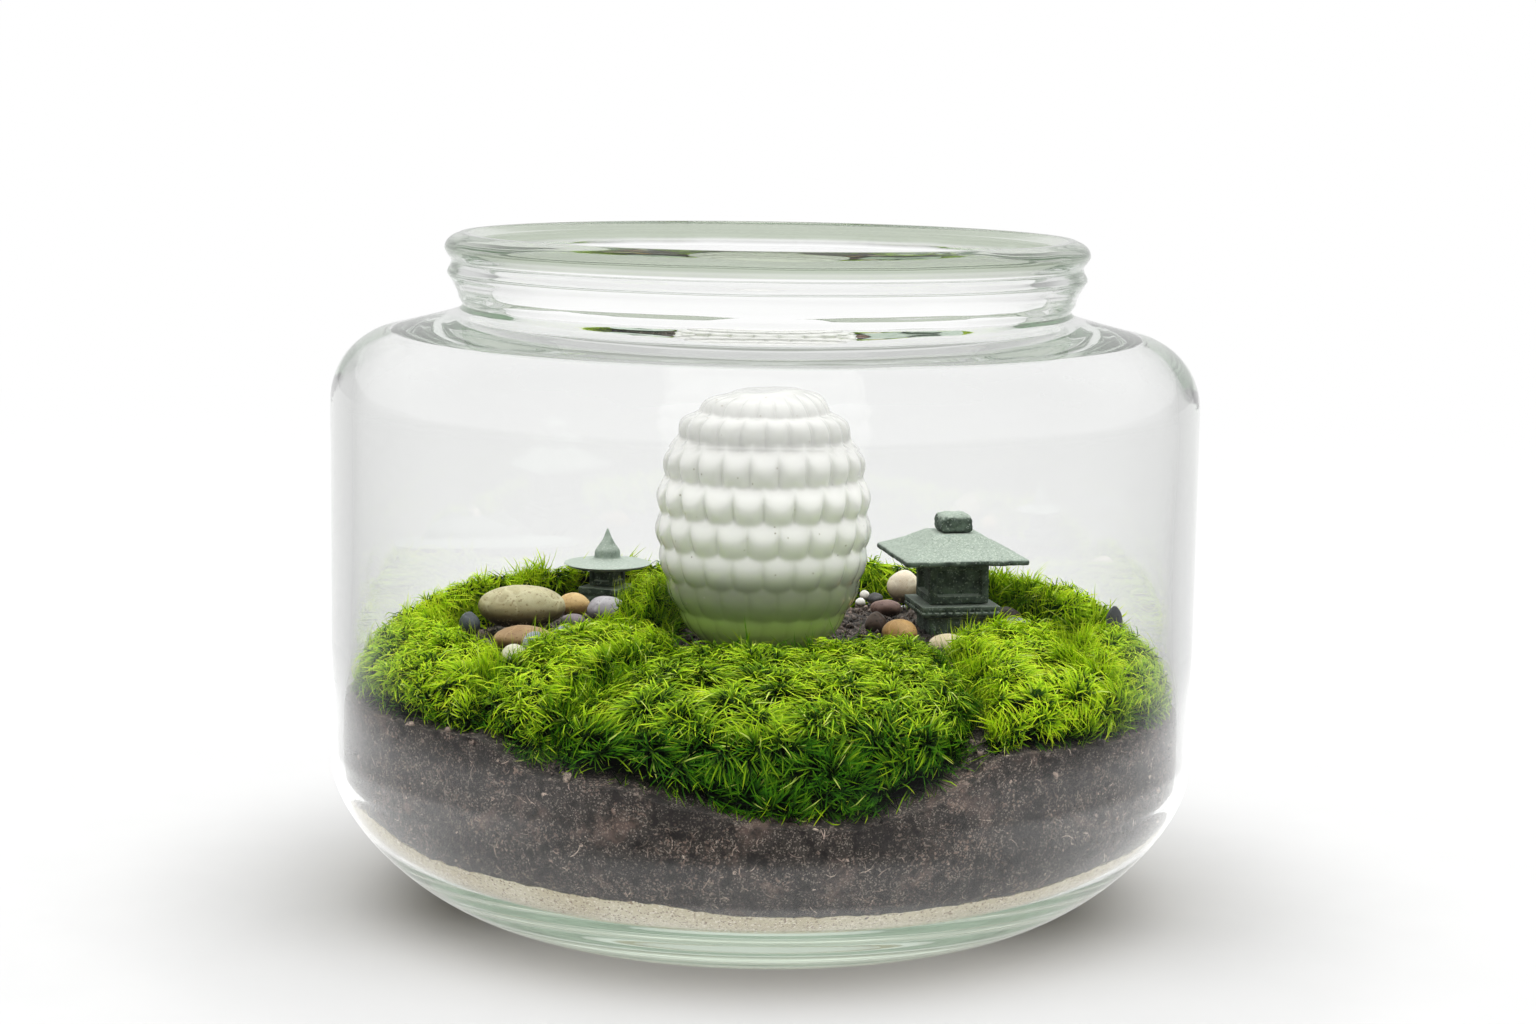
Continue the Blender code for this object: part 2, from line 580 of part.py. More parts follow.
def stone_shape(name, grow):
    """A pebble: a sphere stretched to size with a slow, seeded unevenness, grown all round by a margin."""
    middle, size, turn_deg, _ = STONES[name]
    tool = bmesh.new()
    bmesh.ops.create_icosphere(tool, subdivisions=3 if size[0] > LARGE_STONE else 2, radius=1.0)
    draw = Random(name)
    offset = Vector([draw.uniform(-NOISE_RANGE, NOISE_RANGE) for _ in range(3)])
    for vertex in tool.verts:
        swell = 1.0 + STONE_UNEVENNESS * noise.noise(vertex.co * STONE_WAVE + offset)
        vertex.co = Vector([swell * part * (extent / 2) + grow * part
                            for part, extent in zip(vertex.co, size)])
    matrix = Matrix.Translation(middle) @ Matrix.Rotation(math.radians(turn_deg), 4, "Z")
    bmesh.ops.transform(tool, matrix=matrix, verts=tool.verts)
    return tool


def make_stones():
    for name, (_, _, _, colour) in STONES.items():
        material = finish_material(name, colour, STONE_ROUGHNESS)
        add_object(name, stone_shape(name, 0.0), material)


def press_into(soil, material):
    """Stones, lanterns and the ornament stand in prints of their own shape in the soil."""
    for name in STONES:
        cut_with(soil, make_cutter(add_object("print_of_" + name, stone_shape(name, 2 * GAP), material)))
    for name, (side, bottom, _), place, turn in (
            ("print_of_lantern", LANTERN_FOOT, LANTERN_PLACE, LANTERN_TURN),
            ("print_of_small_lantern", SMALL_PLATE, SMALL_PLACE, SMALL_TURN)):
        wide = side + 2 * GAP
        levels = [(wide, bottom - GAP), (wide, bottom + PRINT_HEIGHT)]
        cut_with(soil, make_cutter(square_tiers(name, levels, place, turn, material)))
    wide = ornament_radius(ORNAMENT_FOOT + EGG_PRINT_RISE) + LOBE_HEIGHT + GAP
    low, high = ORNAMENT_FOOT - GAP, ORNAMENT_FOOT + EGG_PRINT_HEIGHT
    profile = [(0, low), (wide, low), (wide, high), (0, high)]
    cut_with(soil, make_cutter(turned("print_of_ornament", profile, material, EGG_PRINT_SIDES)))


def build_terrarium():
    clear_scene()
    make_jar()
    make_sand(finish_material("sand", *SAND))
    soil_finish = finish_material("soil", *SOIL)
    soil = make_soil(soil_finish)
    press_into(soil, soil_finish)
    moss = finish_material("moss", *MOSS)
    ground = ground_cutter(moss)
    for name, (crown, corners) in MOSS_CUSHIONS.items():
        make_moss_cushion(name, crown, corners, ground, moss)
    make_ornament(finish_material("white_glaze", *GLAZE))
    stone = finish_material("green_stone", *GREEN_STONE)
    make_lantern(stone)
    make_small_lantern(stone)
    make_stones()


build_terrarium()
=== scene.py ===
# %% [markdown]
# # A moss terrarium in a wide glass jar
#
# The real object is a heavy, faintly green jar that holds a bed of sand, dark soil, cushions of moss, a
# glazed ornament, two garden lanterns of cast stone and some pebbles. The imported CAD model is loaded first.
# It is the frame: each piece below is made where its CAD node stands, and then hides that node. All work is
# in metres, +Z is up, the front faces -Y, and lengths are written in millimetres and multiplied by MM.

# %% Load the frame
import math
from random import Random

import bmesh
import bpy
import numpy as np
from mathutils import Matrix, Vector, noise
from mathutils.bvhtree import BVHTree


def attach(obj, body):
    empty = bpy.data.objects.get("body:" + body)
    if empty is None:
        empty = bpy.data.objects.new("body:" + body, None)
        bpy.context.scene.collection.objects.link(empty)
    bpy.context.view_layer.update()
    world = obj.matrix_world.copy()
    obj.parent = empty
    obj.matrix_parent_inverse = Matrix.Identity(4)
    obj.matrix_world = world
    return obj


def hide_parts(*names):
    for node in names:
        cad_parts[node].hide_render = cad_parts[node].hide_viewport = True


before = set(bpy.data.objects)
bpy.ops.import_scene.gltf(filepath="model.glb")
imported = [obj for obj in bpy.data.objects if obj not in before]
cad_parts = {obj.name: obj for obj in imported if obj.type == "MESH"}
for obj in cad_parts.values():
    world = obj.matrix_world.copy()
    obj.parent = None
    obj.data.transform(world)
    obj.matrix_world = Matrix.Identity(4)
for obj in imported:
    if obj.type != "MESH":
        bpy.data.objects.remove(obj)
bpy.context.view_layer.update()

MM = 0.001

# %% [markdown]
# ## Small helpers for edit mode
#
# Blender's operators act on whatever is selected. The loaded CAD nodes come in selected, so every step starts
# by deselecting all. Faces and edges are then picked in code, by their place or by the way they face. A
# finished piece sits at the origin with its place in its mesh, as the CAD nodes do, so that patterns read in
# Object coordinates stay where they are.

# %% Helpers that select, settle and hand over a piece
SMOOTH_UP_TO = math.radians(40)


def deselect_all():
    bpy.ops.object.select_all(action="DESELECT")


def work_on(piece):
    deselect_all()
    piece.select_set(True)
    bpy.context.view_layer.objects.active = piece


def start_piece(name):
    """Name the primitive that was just added."""
    piece = bpy.context.object
    piece.name = piece.data.name = name
    return piece


def pick(piece, kind, test):
    """In edit mode, select the faces, edges or vertices that pass the test, and nothing else."""
    bpy.ops.mesh.select_mode(type={"faces": "FACE", "edges": "EDGE", "verts": "VERT"}[kind])
    bpy.ops.mesh.select_all(action="DESELECT")
    tool = bmesh.from_edit_mesh(piece.data)
    tool.normal_update()
    for part in getattr(tool, kind):
        if test(part):
            part.select_set(True)
    tool.select_flush_mode()
    bmesh.update_edit_mesh(piece.data)


def settle(piece):
    """Put the piece's place into its mesh and shade it smooth where it bends gently."""
    work_on(piece)
    bpy.ops.object.transform_apply(location=True, rotation=True, scale=True)
    bpy.ops.object.shade_smooth_by_angle(angle=SMOOTH_UP_TO)
    return piece


def apply_modifier(piece, kind, **settings):
    """Add a modifier, set it and apply it, as in the modifier panel."""
    work_on(piece)
    modifier = piece.modifiers.new(kind.title(), kind)
    for name, value in settings.items():
        setattr(modifier, name, value)
    bpy.ops.object.modifier_apply(modifier=modifier.name)


def join(pieces, name):
    """Join several pieces into the first."""
    deselect_all()
    for piece in pieces:
        piece.select_set(True)
    bpy.context.view_layer.objects.active = pieces[0]
    bpy.ops.object.join()
    return start_piece(name)


def hand_over(piece, finish, slot, *nodes):
    """Give a finished piece its material, and let it stand for its CAD nodes."""
    piece.data.materials.clear()
    piece.data.materials.append(finish)
    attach(piece, "root")
    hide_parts(*nodes)
    print(piece.name, "stands for", ", ".join(nodes), "with", len(piece.data.polygons), "faces")


def values_of(items, label, kind=float):
    """The three numbers that each vertex or triangle of a mesh has under a label, as rows of an array."""
    flat = np.empty(len(items) * 3, dtype=kind)
    items.foreach_get(label, flat)
    return flat.reshape(-1, 3)


def coordinates(mesh):
    """The points of a mesh, in millimetres."""
    return values_of(mesh.vertices, "co") / MM


def normals_of(mesh):
    return values_of(mesh.vertices, "normal")


def corners_of(mesh):
    """The three points of each triangle of a mesh, by their numbers."""
    return values_of(mesh.polygons, "vertices", np.int32)


def move_points(mesh, places):
    """Write an array of places in millimetres back into a mesh."""
    mesh.vertices.foreach_set("co", (places * MM).ravel())
    mesh.update()


def tree_of(form):
    """The faces of a form, ordered so that the nearest or the one along a ray is found fast."""
    return BVHTree.FromPolygons([vertex.co for vertex in form.data.vertices],
                                [face.vertices for face in form.data.polygons])

# %% [markdown]
# ## The camera
#
# The photo was taken from the front, slightly above the rim, with a short telephoto lens. These values come
# from a fit to the jar's outline: the width and height of the body, the ellipses of the lip and of the base.

# %% Place the camera
CAMERA_PLACE = (0.00097, -0.700, 0.1892)
CAMERA_PITCH = 0.140      # radians below the horizon
CAMERA_ROLL = 0.0153
FOCAL_PIXELS = 3029
FRAME_WIDTH = 1536

view_down = Vector((0, math.cos(CAMERA_PITCH), -math.sin(CAMERA_PITCH)))
camera = bpy.data.objects.new("camera", bpy.data.cameras.new("camera"))
bpy.context.scene.collection.objects.link(camera)
camera.data.sensor_width = 36.0
camera.data.lens = FOCAL_PIXELS / FRAME_WIDTH * camera.data.sensor_width
camera.data.clip_start = 0.01
aimed = view_down.to_track_quat("-Z", "Y").to_matrix().to_4x4()
camera.matrix_world = Matrix.Translation(CAMERA_PLACE) @ aimed @ Matrix.Rotation(CAMERA_ROLL, 4, "Z")
bpy.context.scene.camera = camera
print("lens", round(camera.data.lens, 1), "mm")

# %% [markdown]
# ## Shader maths
#
# A procedural finish is a small calculation on patterns. Written out as nodes it is long and hard to read, so
# two classes turn Python expressions into nodes: adding or multiplying two Wires adds a Math node. A third
# call, blend, mixes colours, because a Math node would turn them grey.

# %% Wires and finishes
TRAPPED_AFTER = 7.5       # a ray that was mirrored more often than this is trapped inside the glass


class Wire:
    """A socket in a shader tree. Arithmetic on it adds Math nodes."""

    def __init__(self, finish, socket):
        self.finish, self.socket = finish, socket

    def maths(self, operation, *values):
        return self.finish.add("ShaderNodeMath", {"operation": operation}, dict(enumerate(values)))

    def __add__(self, other):
        return self.maths("ADD", self, other)

    def __sub__(self, other):
        return self.maths("SUBTRACT", self, other)

    def __rsub__(self, other):
        return self.maths("SUBTRACT", other, self)

    def __mul__(self, other):
        return self.maths("MULTIPLY", self, other)

    def __abs__(self):
        return self.maths("ABSOLUTE", self)

    def above(self, limit):
        """1 above the limit and 0 below it."""
        return self.maths("GREATER_THAN", self, limit)

    def step(self, low, high):
        """0 below low, 1 above high and smooth between."""
        return self.finish.add("ShaderNodeMapRange", {"interpolation_type": "SMOOTHSTEP"},
                               {"Value": self, "From Min": low, "From Max": high})

    __radd__ = __add__
    __rmul__ = __mul__


class Finish:
    """A material with its Principled shader, and one method that adds any other node."""

    def __init__(self, name, **constants):
        self.material = bpy.data.materials.new(name)
        self.material.use_nodes = True
        self.tree = self.material.node_tree
        self.shader = self.tree.nodes["Principled BSDF"]
        for socket, value in constants.items():
            self.shader.inputs[socket.replace("_", " ")].default_value = value
        self.place = self.add("ShaderNodeTexCoord", output="Object")

    def ray(self, kind):
        """A number about the ray that asks: what kind it is, or how often it has bounced."""
        return self.add("ShaderNodeLightPath", output=kind)

    def mirrored(self):
        """1 for a ray that comes off or through glass and was mirrored on its way."""
        by_glass = (self.ray("Is Glossy Ray") + self.ray("Is Transmission Ray")).above(0.5)
        return self.ray("Glossy Depth").above(0.5) * by_glass

    def trapped(self):
        """1 for a ray that was mirrored again and again inside the glass."""
        return self.ray("Glossy Depth").above(TRAPPED_AFTER)

    def feed(self, socket, value):
        if isinstance(value, Wire):
            self.tree.links.new(value.socket, socket)
        else:
            socket.default_value = value

    def add(self, kind, settings=None, values=None, output=0):
        """Add a node, set it up, fill its sockets with values or links, and return one of its outputs."""
        node = self.tree.nodes.new(kind)
        for name, setting in (settings or {}).items():
            if name == "stops":
                ramp = node.color_ramp
                while len(ramp.elements) < len(setting):
                    ramp.elements.new(0.5)
                for element, (position, colour) in zip(ramp.elements, setting):
                    element.position, element.color = position, colour
            else:
                setattr(node, name, setting)
        for name, value in (values or {}).items():
            self.feed(node.inputs[name], value)
        return Wire(self, node.outputs[output])

    def noise(self, scale, detail=3.0, roughness=0.5):
        return self.add("ShaderNodeTexNoise", None, {"Vector": self.place, "Scale": scale, "Detail": detail,
                                                     "Roughness": roughness})

    def cells(self, scale, output="Distance"):
        return self.add("ShaderNodeTexVoronoi", None, {"Vector": self.place, "Scale": scale}, output)

    def speck(self, scale, channel):
        """A random number for each cell of a pattern: one channel of the cell's colour."""
        return self.add("ShaderNodeSeparateColor", None, {"Color": self.cells(scale, "Color")}, channel)

    def blend(self, share, first, second):
        """A colour that goes from the first to the second as share goes from 0 to 1."""
        return self.add("ShaderNodeMix", {"data_type": "RGBA"}, {0: share, 6: first, 7: second}, 2)

    def ramp(self, value, *stops):
        return self.add("ShaderNodeValToRGB", {"stops": stops}, {"Fac": value})

    def attribute(self, name):
        return self.add("ShaderNodeAttribute", {"attribute_name": name}, None, "Fac")

    def part_along(self, vector, axis):
        return self.add("ShaderNodeSeparateXYZ", None, {"Vector": vector}, axis)

    def height(self):
        """Height over the table, in millimetres."""
        return self.part_along(self.place, "Z") * (1 / MM)

    def bump(self, height, depth_mm, strength):
        """Small relief that the mesh doesn't hold, of a depth in millimetres."""
        self.set("Normal", self.add("ShaderNodeBump", None, {"Height": height, "Distance": depth_mm * MM,
                                                             "Strength": strength}))

    def set(self, socket, value):
        self.feed(self.shader.inputs[socket], value)


def colour(red, green, blue):
    """A colour as seen on screen, 0 to 255, turned by the sRGB curve into the linear values of shaders."""
    linear = [(part / 255 / 12.92) if part <= 10 else ((part / 255 + 0.055) / 1.055) ** 2.4
              for part in (red, green, blue)]
    return (*linear, 1.0)


def grey(value):
    return (value, value, value, 1.0)


BLACK, WHITE = grey(0.0), grey(1.0)

# %% [markdown]
# ## Floor and light
#
# The photo is a studio shot on white: everything is bright, and the shadow round the base is soft. A pale
# floor and a sky with a large soft lamp overhead give that. Glass has hardly a colour of its own and is drawn
# by what it bends and mirrors into view. A photographer sets white and dark cards round it for that, and here
# the sky and the floor do it. A ray that went through glass sees white before and behind and grey to the
# sides, which draws the thin grey edges. One that was mirrored sees a greyer sky, so that only a thin veil
# lies on the planting. One that turned again and again in the thick base sees dark sides, which draws the
# streaks there.

# %% Light the scene
OVERHEAD = 3.2            # brightness of the soft lamp overhead
LIGHT_FROM = (0.055, 0.02, 0.998)         # the way to its middle: above, and a little to the right
OVERHEAD_BAND = 0.45, 0.92                # how far round that way it begins and is full
LIT_FRONT, LIT_SIDE, LIT_BACK = 0.62, 0.46, 0.85    # light on the pieces from the rest of the sky
SEEN_ABOVE = 0.18         # share that the sky seen through glass loses towards the zenith
ABOVE_BAND = 0.1, 0.7
BOUNCES = 48              # light turns many times in thick glass

# Brightness of the sky as special rays see it, from 0, straight before the jar, to 1, straight behind it.
SEEN_THROUGH = [(0.0, 1.0), (0.05, 0.92), (0.25, 0.40), (0.5, 0.22), (0.75, 0.40), (0.95, 0.95), (1.0, 1.07)]
MIRRORED = [(0.0, 0.50), (0.58, 0.50), (0.78, 0.80)]
TRAPPED = [(0.0, 0.95), (0.25, 0.28), (0.5, 0.12), (0.75, 0.28), (1.0, 0.95)]


class Surroundings(Finish):
    """The world's own node tree, worked with the same methods as a material."""

    def __init__(self, world):
        self.tree = world.node_tree

    def greys(self, value, stops):
        return self.ramp(value, *[(position, grey(brightness)) for position, brightness in stops])


bpy.context.scene.view_settings.view_transform = "Standard"
for kind in ("max_bounces", "transmission_bounces", "glossy_bounces"):
    setattr(bpy.context.scene.cycles, kind, BOUNCES)
world = bpy.data.worlds.new("studio")
bpy.context.scene.world = world
world.use_nodes = True
sky = Surroundings(world)
view_way = sky.add("ShaderNodeTexCoord", output="Generated")
back = sky.part_along(view_way, "Y") * 0.5 + 0.5
up = sky.add("ShaderNodeVectorMath", {"operation": "DOT_PRODUCT"}, {0: view_way, 1: LIGHT_FROM}, "Value")
rest_of_sky = sky.greys(back, [(0.0, LIT_FRONT), (0.5, LIT_SIDE), (1.0, LIT_BACK)])
lit = sky.blend(up.step(*OVERHEAD_BAND), rest_of_sky, grey(OVERHEAD))
high = sky.part_along(view_way, "Z").step(*ABOVE_BAND)
through = sky.blend(high * SEEN_ABOVE, sky.greys(back, SEEN_THROUGH), BLACK)
seen = sky.blend(sky.ray("Is Transmission Ray"), lit, through)
seen = sky.blend(sky.mirrored(), seen, sky.greys(back, MIRRORED))
seen = sky.blend(sky.trapped(), seen, sky.greys(back, TRAPPED))
seen = sky.blend(sky.ray("Is Camera Ray"), seen, WHITE)
sky.feed(world.node_tree.nodes["Background"].inputs["Color"], seen)
print("sky: overhead", OVERHEAD, "front", LIT_FRONT, "side", LIT_SIDE, "back", LIT_BACK)

# %% Lay the floor
# The floor is pale paper, and far off it glows, as an overlit backdrop does, so no horizon shows. Mirrored in
# glass, it is dark from a quarter of a metre off, and nearer straight before the jar, as if black cards lay
# there: the lower wall still carries a soft veil of the paper close by, as in the photo, and the wall above
# is clear. Seen through glass it is greyer to the sides. A band gives two distances from the jar's middle, in
# metres, between which something grows. A round says how far to the back: -1 is straight before the jar, 1
# straight behind it.
FLOOR_SIZE, FLOOR_DROP = 60.0, 0.0001     # it lies a hair below the jar
PAPER_TONES = 0.51, 0.53
CARD_BAND, CARD_ROUND, CARD_LOSS = (0.25, 0.34), (0.80, 0.0), 0.98
NEAR_CARD_BAND, NEAR_CARD_ROUND = (0.12, 0.20), (-0.60, -1.0)
THROUGH_LOSS = 0.36       # for mirrored rays that also went through glass: it greys the edges
SIDE_BAND, SIDE_ROUND, SIDE_LOSS = (0.25, 0.68), (0.97, 0.60), 0.5
# Painted shadow: the paper's colour is darker in a ring round the jar's base, for light that the jar keeps
# from it.
RING_BAND, RING_SHADE = (0.170, 0.105), 0.13        # light that the jar keeps from the paper round its base
GLOW_BAND = 0.30, 1.20
STRAIGHT_ROUND = 0.80, 0.99               # straight before or behind
# Painted light: seen through glass, the paper under the jar glows, as light that the thick base gathers
# there.
GATHERED_BAND, GATHERED = (0.098, 0.094), 0.85      # light that the thick base gathers on the paper under it
GATHERED_ALL_ROUND = 0.3                  # share of it that is there to the sides too
# Painted pool of light: the paper close before the jar glows, where the glass base throws light.
THROWN_BAND, THROWN_ROUND, THROWN = (0.150, 0.100), (-0.2, -0.9), 0.19     # bright paper close before the jar
# Painted glow: the near paper shines brighter, but only where it is mirrored in the wall.
NEAR_BAND, NEAR_ROUND, NEAR_GAIN = (0.36, 0.26), (-0.85, -0.3), 0.44       # near paper mirrored in the wall
# Painted glow: the near paper shines, but only for rays trapped in the glass.
TRAPPED_GLOW, TRAPPED_STRAIGHT = 0.12, 0.4          # what a trapped ray sees of the near paper

deselect_all()
bpy.ops.mesh.primitive_grid_add(x_subdivisions=8, y_subdivisions=8, size=FLOOR_SIZE,
                                location=(0, 0, -FLOOR_DROP))
floor = start_piece("floor")
paper = Finish("pale paper", Roughness=0.9, Specular_IOR_Level=0.0, Emission_Strength=1.0)
distance = paper.add("ShaderNodeVectorMath", {"operation": "LENGTH"}, {0: paper.place}, "Value")
behind = paper.part_along(paper.place, "Y")
behind = behind.maths("DIVIDE", behind, distance)
straight = abs(behind).step(*STRAIGHT_ROUND)
far = distance.step(*GLOW_BAND)
mirrored, trapped = paper.mirrored(), paper.trapped()
mirrored_little = mirrored * (1 - trapped)
far_card = distance.step(*CARD_BAND) * behind.step(*CARD_ROUND)
near_card = distance.step(*NEAR_CARD_BAND) * behind.step(*NEAR_CARD_ROUND)
card = 1 - (1 - far_card) * (1 - near_card)
went_through = paper.ray("Transmission Depth").above(0.5) * THROUGH_LOSS
sideways = abs(behind).step(*SIDE_ROUND) * distance.step(*SIDE_BAND)
loss = (mirrored_little * (1 - (1 - card * CARD_LOSS) * (1 - went_through))
        + (1 - mirrored) * paper.ray("Is Transmission Ray") * sideways * SIDE_LOSS)
# painted shadow round the jar's base, in the paper's colour
loss = 1 - (1 - loss) * (1 - distance.step(*RING_BAND) * RING_SHADE)
tone = paper.blend(paper.noise(40, detail=2), *map(grey, PAPER_TONES))
paper.set("Base Color", paper.blend(1 - (1 - loss) * (1 - far), tone, BLACK))
# painted light on the paper under the jar
gathered = (distance.step(*GATHERED_BAND) * paper.ray("Is Transmission Ray") * GATHERED
            * (straight * (1 - GATHERED_ALL_ROUND) + GATHERED_ALL_ROUND))
# painted pool of light on the paper before the jar
thrown = distance.step(*THROWN_BAND) * behind.step(*THROWN_ROUND) * THROWN
# painted glow of the near paper, seen only mirrored in the wall
near = mirrored_little * (1 - card) * distance.step(*NEAR_BAND) * behind.step(*NEAR_ROUND) * NEAR_GAIN
# painted glow of the near paper for trapped rays
seen_trapped = trapped * (1 - far) * (straight * TRAPPED_STRAIGHT + TRAPPED_GLOW)
glow = (1 - loss) * far + gathered + thrown + near + seen_trapped
paper.set("Emission Color", paper.blend(glow, BLACK, WHITE))
floor.data.materials.append(paper.material)
print("floor glows from", GLOW_BAND[0], "to", GLOW_BAND[1], "m")

# %% [markdown]
# ## The jar
#
# A jar is blown or pressed into a turned mould, so it is a spin: half its outline, outside and inside, is
# drawn point by point and spun round the axis. The wall has a real thickness, because a glass needs two
# surfaces to bend light as glass does. The bottom corner is a rounded curve a little flatter than an ellipse,
# the shoulder is most of a quarter circle, and the neck carries a bead, a notch and a rounded lip.

# %% Sizes of the jar
JAR_RADIUS = 100.0
JAR_HEIGHT = 155.0
WALL = 4.8
FLOOR = 7.5
OUTER_CORNER, OUTER_POWER = (35.4, 32.0), 1.5      # run and rise of the corner; 2 would be an ellipse
INNER_CORNER, INNER_POWER = (30.0, 26.0), 1.8
BASE_RADII, FLOOR_RADII = (0.0, 20.0, 42.0), (0.0, 22.0, 45.0)    # points on the flat, outside and inside
LOW_WALL = 3.5            # the wall is thinner at the corner
THICKENS_FROM, THICKENS_OVER = 38, 26     # the level where it begins to thicken, and over what height
WALL_LEVELS = (78, 93, 108, 114)          # points on the straight of the wall, inside
OUTER_WALL_LEVELS = (48, 70, 93, 108, 114)
JAR_STEPS = 192           # round the axis
SHOULDER_LEVEL = 117.0
SHOULDER_TURN = (16.0, 16.5)
SHOULDER_SWEEP = math.radians(72)
SHOULDER_THINS = 0.5      # 1 would keep the wall's thickness all the way up the shoulder
NECK_OUTSIDE = [(71.6, 137.4), (71.0, 140.5), (72.2, 143.6), (73.6, 146.0), (72.9, 147.8), (72.7, 149.0),
                (73.7, 150.4), (74.2, 151.7), (73.7, 153.1), (72.5, 154.2), (70.6, JAR_HEIGHT)]
NECK_INSIDE = [(69.2, 133.1), (67.2, 140.5), (67.2, 151.6), (67.6, 153.5), (69.2, JAR_HEIGHT)]


def corner_curve(radius, base, corner, power, steps=22):
    """The rounded bottom corner, from the base out to the wall."""
    run, rise = corner
    angles = [math.pi / 2 * step / steps for step in range(steps + 1)]
    return [(radius - run + run * math.sin(angle) ** (2 / power),
             base + rise - rise * math.cos(angle) ** (2 / power)) for angle in angles]


def shoulder_curve(depth, steps=22):
    """The round of the shoulder, from the wall inwards, below the outside by a depth that thins."""
    radius, level = JAR_RADIUS - depth, SHOULDER_LEVEL
    run, rise = (size - depth * SHOULDER_THINS for size in SHOULDER_TURN)
    angles = [SHOULDER_SWEEP * step / steps for step in range(steps + 1)]
    return [(radius - run * (1 - math.cos(angle)), level + rise * math.sin(angle)) for angle in angles]


def smooth_through(points, steps):
    """A Catmull-Rom curve through the points."""
    ends = [points[0], *points, points[-1]]
    curve = []
    for p0, p1, p2, p3 in zip(ends, ends[1:], ends[2:], ends[3:]):
        for step in range(steps):
            t = step / steps
            curve.append(tuple(0.5 * (2 * b + (c - a) * t + (2 * a - 5 * b + 4 * c - d) * t * t
                                      + (3 * b - a - 3 * c + d) * t ** 3)
                               for a, b, c, d in zip(p0, p1, p2, p3)))
    return curve + [points[-1]]


def outer_outline():
    shoulder = shoulder_curve(0.0)
    return ([(radius, 0.0) for radius in BASE_RADII]
            + corner_curve(JAR_RADIUS, 0.0, OUTER_CORNER, OUTER_POWER)
            + [(JAR_RADIUS, z) for z in OUTER_WALL_LEVELS] + shoulder[:-1]
            + smooth_through([shoulder[-1], *NECK_OUTSIDE], 5))


def inner_outline():
    inside, low = JAR_RADIUS - WALL, JAR_RADIUS - LOW_WALL
    thickening = [(low + (inside - low) * share * share * (3 - 2 * share),
                   THICKENS_FROM + THICKENS_OVER * share) for share in (0.0, 0.2, 0.4, 0.6, 0.8, 1.0)]
    shoulder = shoulder_curve(WALL)
    return ([(radius, FLOOR) for radius in FLOOR_RADII]
            + corner_curve(low, FLOOR, INNER_CORNER, INNER_POWER)
            + thickening + [(inside, z) for z in WALL_LEVELS] + shoulder[:-1]
            + smooth_through([shoulder[-1], *NECK_INSIDE], 5))


print("outline points:", len(outer_outline()), "outside,", len(inner_outline()), "inside")

# %% Draw an outline and spin it
def spin_outline(name, outline, steps):
    """Extrude one vertex along an outline of (radius, height), then spin it into a closed turned solid."""
    deselect_all()
    radius, height = outline[0]
    bpy.ops.mesh.primitive_plane_add(size=MM, location=(radius * MM, 0, height * MM))
    piece = start_piece(name)
    bpy.ops.object.mode_set(mode="EDIT")
    bpy.ops.mesh.select_mode(type="VERT")
    bpy.ops.mesh.select_all(action="SELECT")
    bpy.ops.mesh.merge(type="CENTER")
    for (r0, z0), (r1, z1) in zip(outline, outline[1:]):
        way = ((r1 - r0) * MM, 0, (z1 - z0) * MM)
        bpy.ops.mesh.extrude_region_move(TRANSFORM_OT_translate={"value": way})
    bpy.ops.mesh.select_all(action="SELECT")
    bpy.ops.mesh.spin(steps=steps, angle=math.tau, center=(0, 0, 0), axis=(0, 0, 1))
    bpy.ops.mesh.select_all(action="SELECT")
    bpy.ops.mesh.remove_doubles(threshold=0.002 * MM)
    bpy.ops.mesh.normals_make_consistent(inside=False)
    bpy.ops.object.mode_set(mode="OBJECT")
    return settle(piece)


jar = spin_outline("jar", outer_outline() + inner_outline()[::-1], steps=JAR_STEPS)

# %% [markdown]
# Pressed glass is never quite even. The outside takes the mould's true surface, but the inside is left by a
# plunger and a breath of air, so it waves a little, most at the shoulder and neck. That unevenness bends
# straight reflections into the wandering lines seen there. The points of the inner surface are moved by slow
# noise. The flat floor, the corner and the lip stay as they are.

# %% Let the inner surface wave
WALL_WAVE, NECK_WAVE = 0.05, 0.35         # depth in millimetres, along the wall and at the shoulder and neck
WAVES_GROW = (119.0, 134.0)               # levels between which they grow from the one to the other
WAVES_FROM, WAVES_TO = 40.0, JAR_HEIGHT - 4
NECK_FROM, NECK_MIDDLE = 133.0, 69.8      # from this level up, a point nearer than this is on the inside
HALF_WALL = 2.0                           # below it, one this far within the outer surface is
WAVE_SIZES = [(1.0, 0.045), (0.4, 0.11)]  # share and fineness of each noise
WAVES_FLAT = 2.2                          # the waves lie flat: they change faster upwards than round

places = coordinates(jar.data)
radii = np.hypot(places[:, 0], places[:, 1])
for index, ((x, y, z), radius) in enumerate(zip(places, radii)):
    if z < WAVES_FROM or z > WAVES_TO:
        continue
    climb = max(0.0, z - SHOULDER_LEVEL) / SHOULDER_TURN[1]
    outside = JAR_RADIUS - SHOULDER_TURN[0] * (1 - math.sqrt(max(0.0, 1 - climb ** 2)))
    if radius > (outside - HALF_WALL if z < NECK_FROM else NECK_MIDDLE):
        continue
    depth = float(np.interp(z, WAVES_GROW, (WALL_WAVE, NECK_WAVE)))
    spot = Vector((x, y, z * WAVES_FLAT))
    wave = sum(share * noise.noise(spot * fineness) for share, fineness in WAVE_SIZES)
    places[index, :2] *= 1 + depth * wave / radius
move_points(jar.data, places)
print("inner surface waves by up to", NECK_WAVE, "mm")

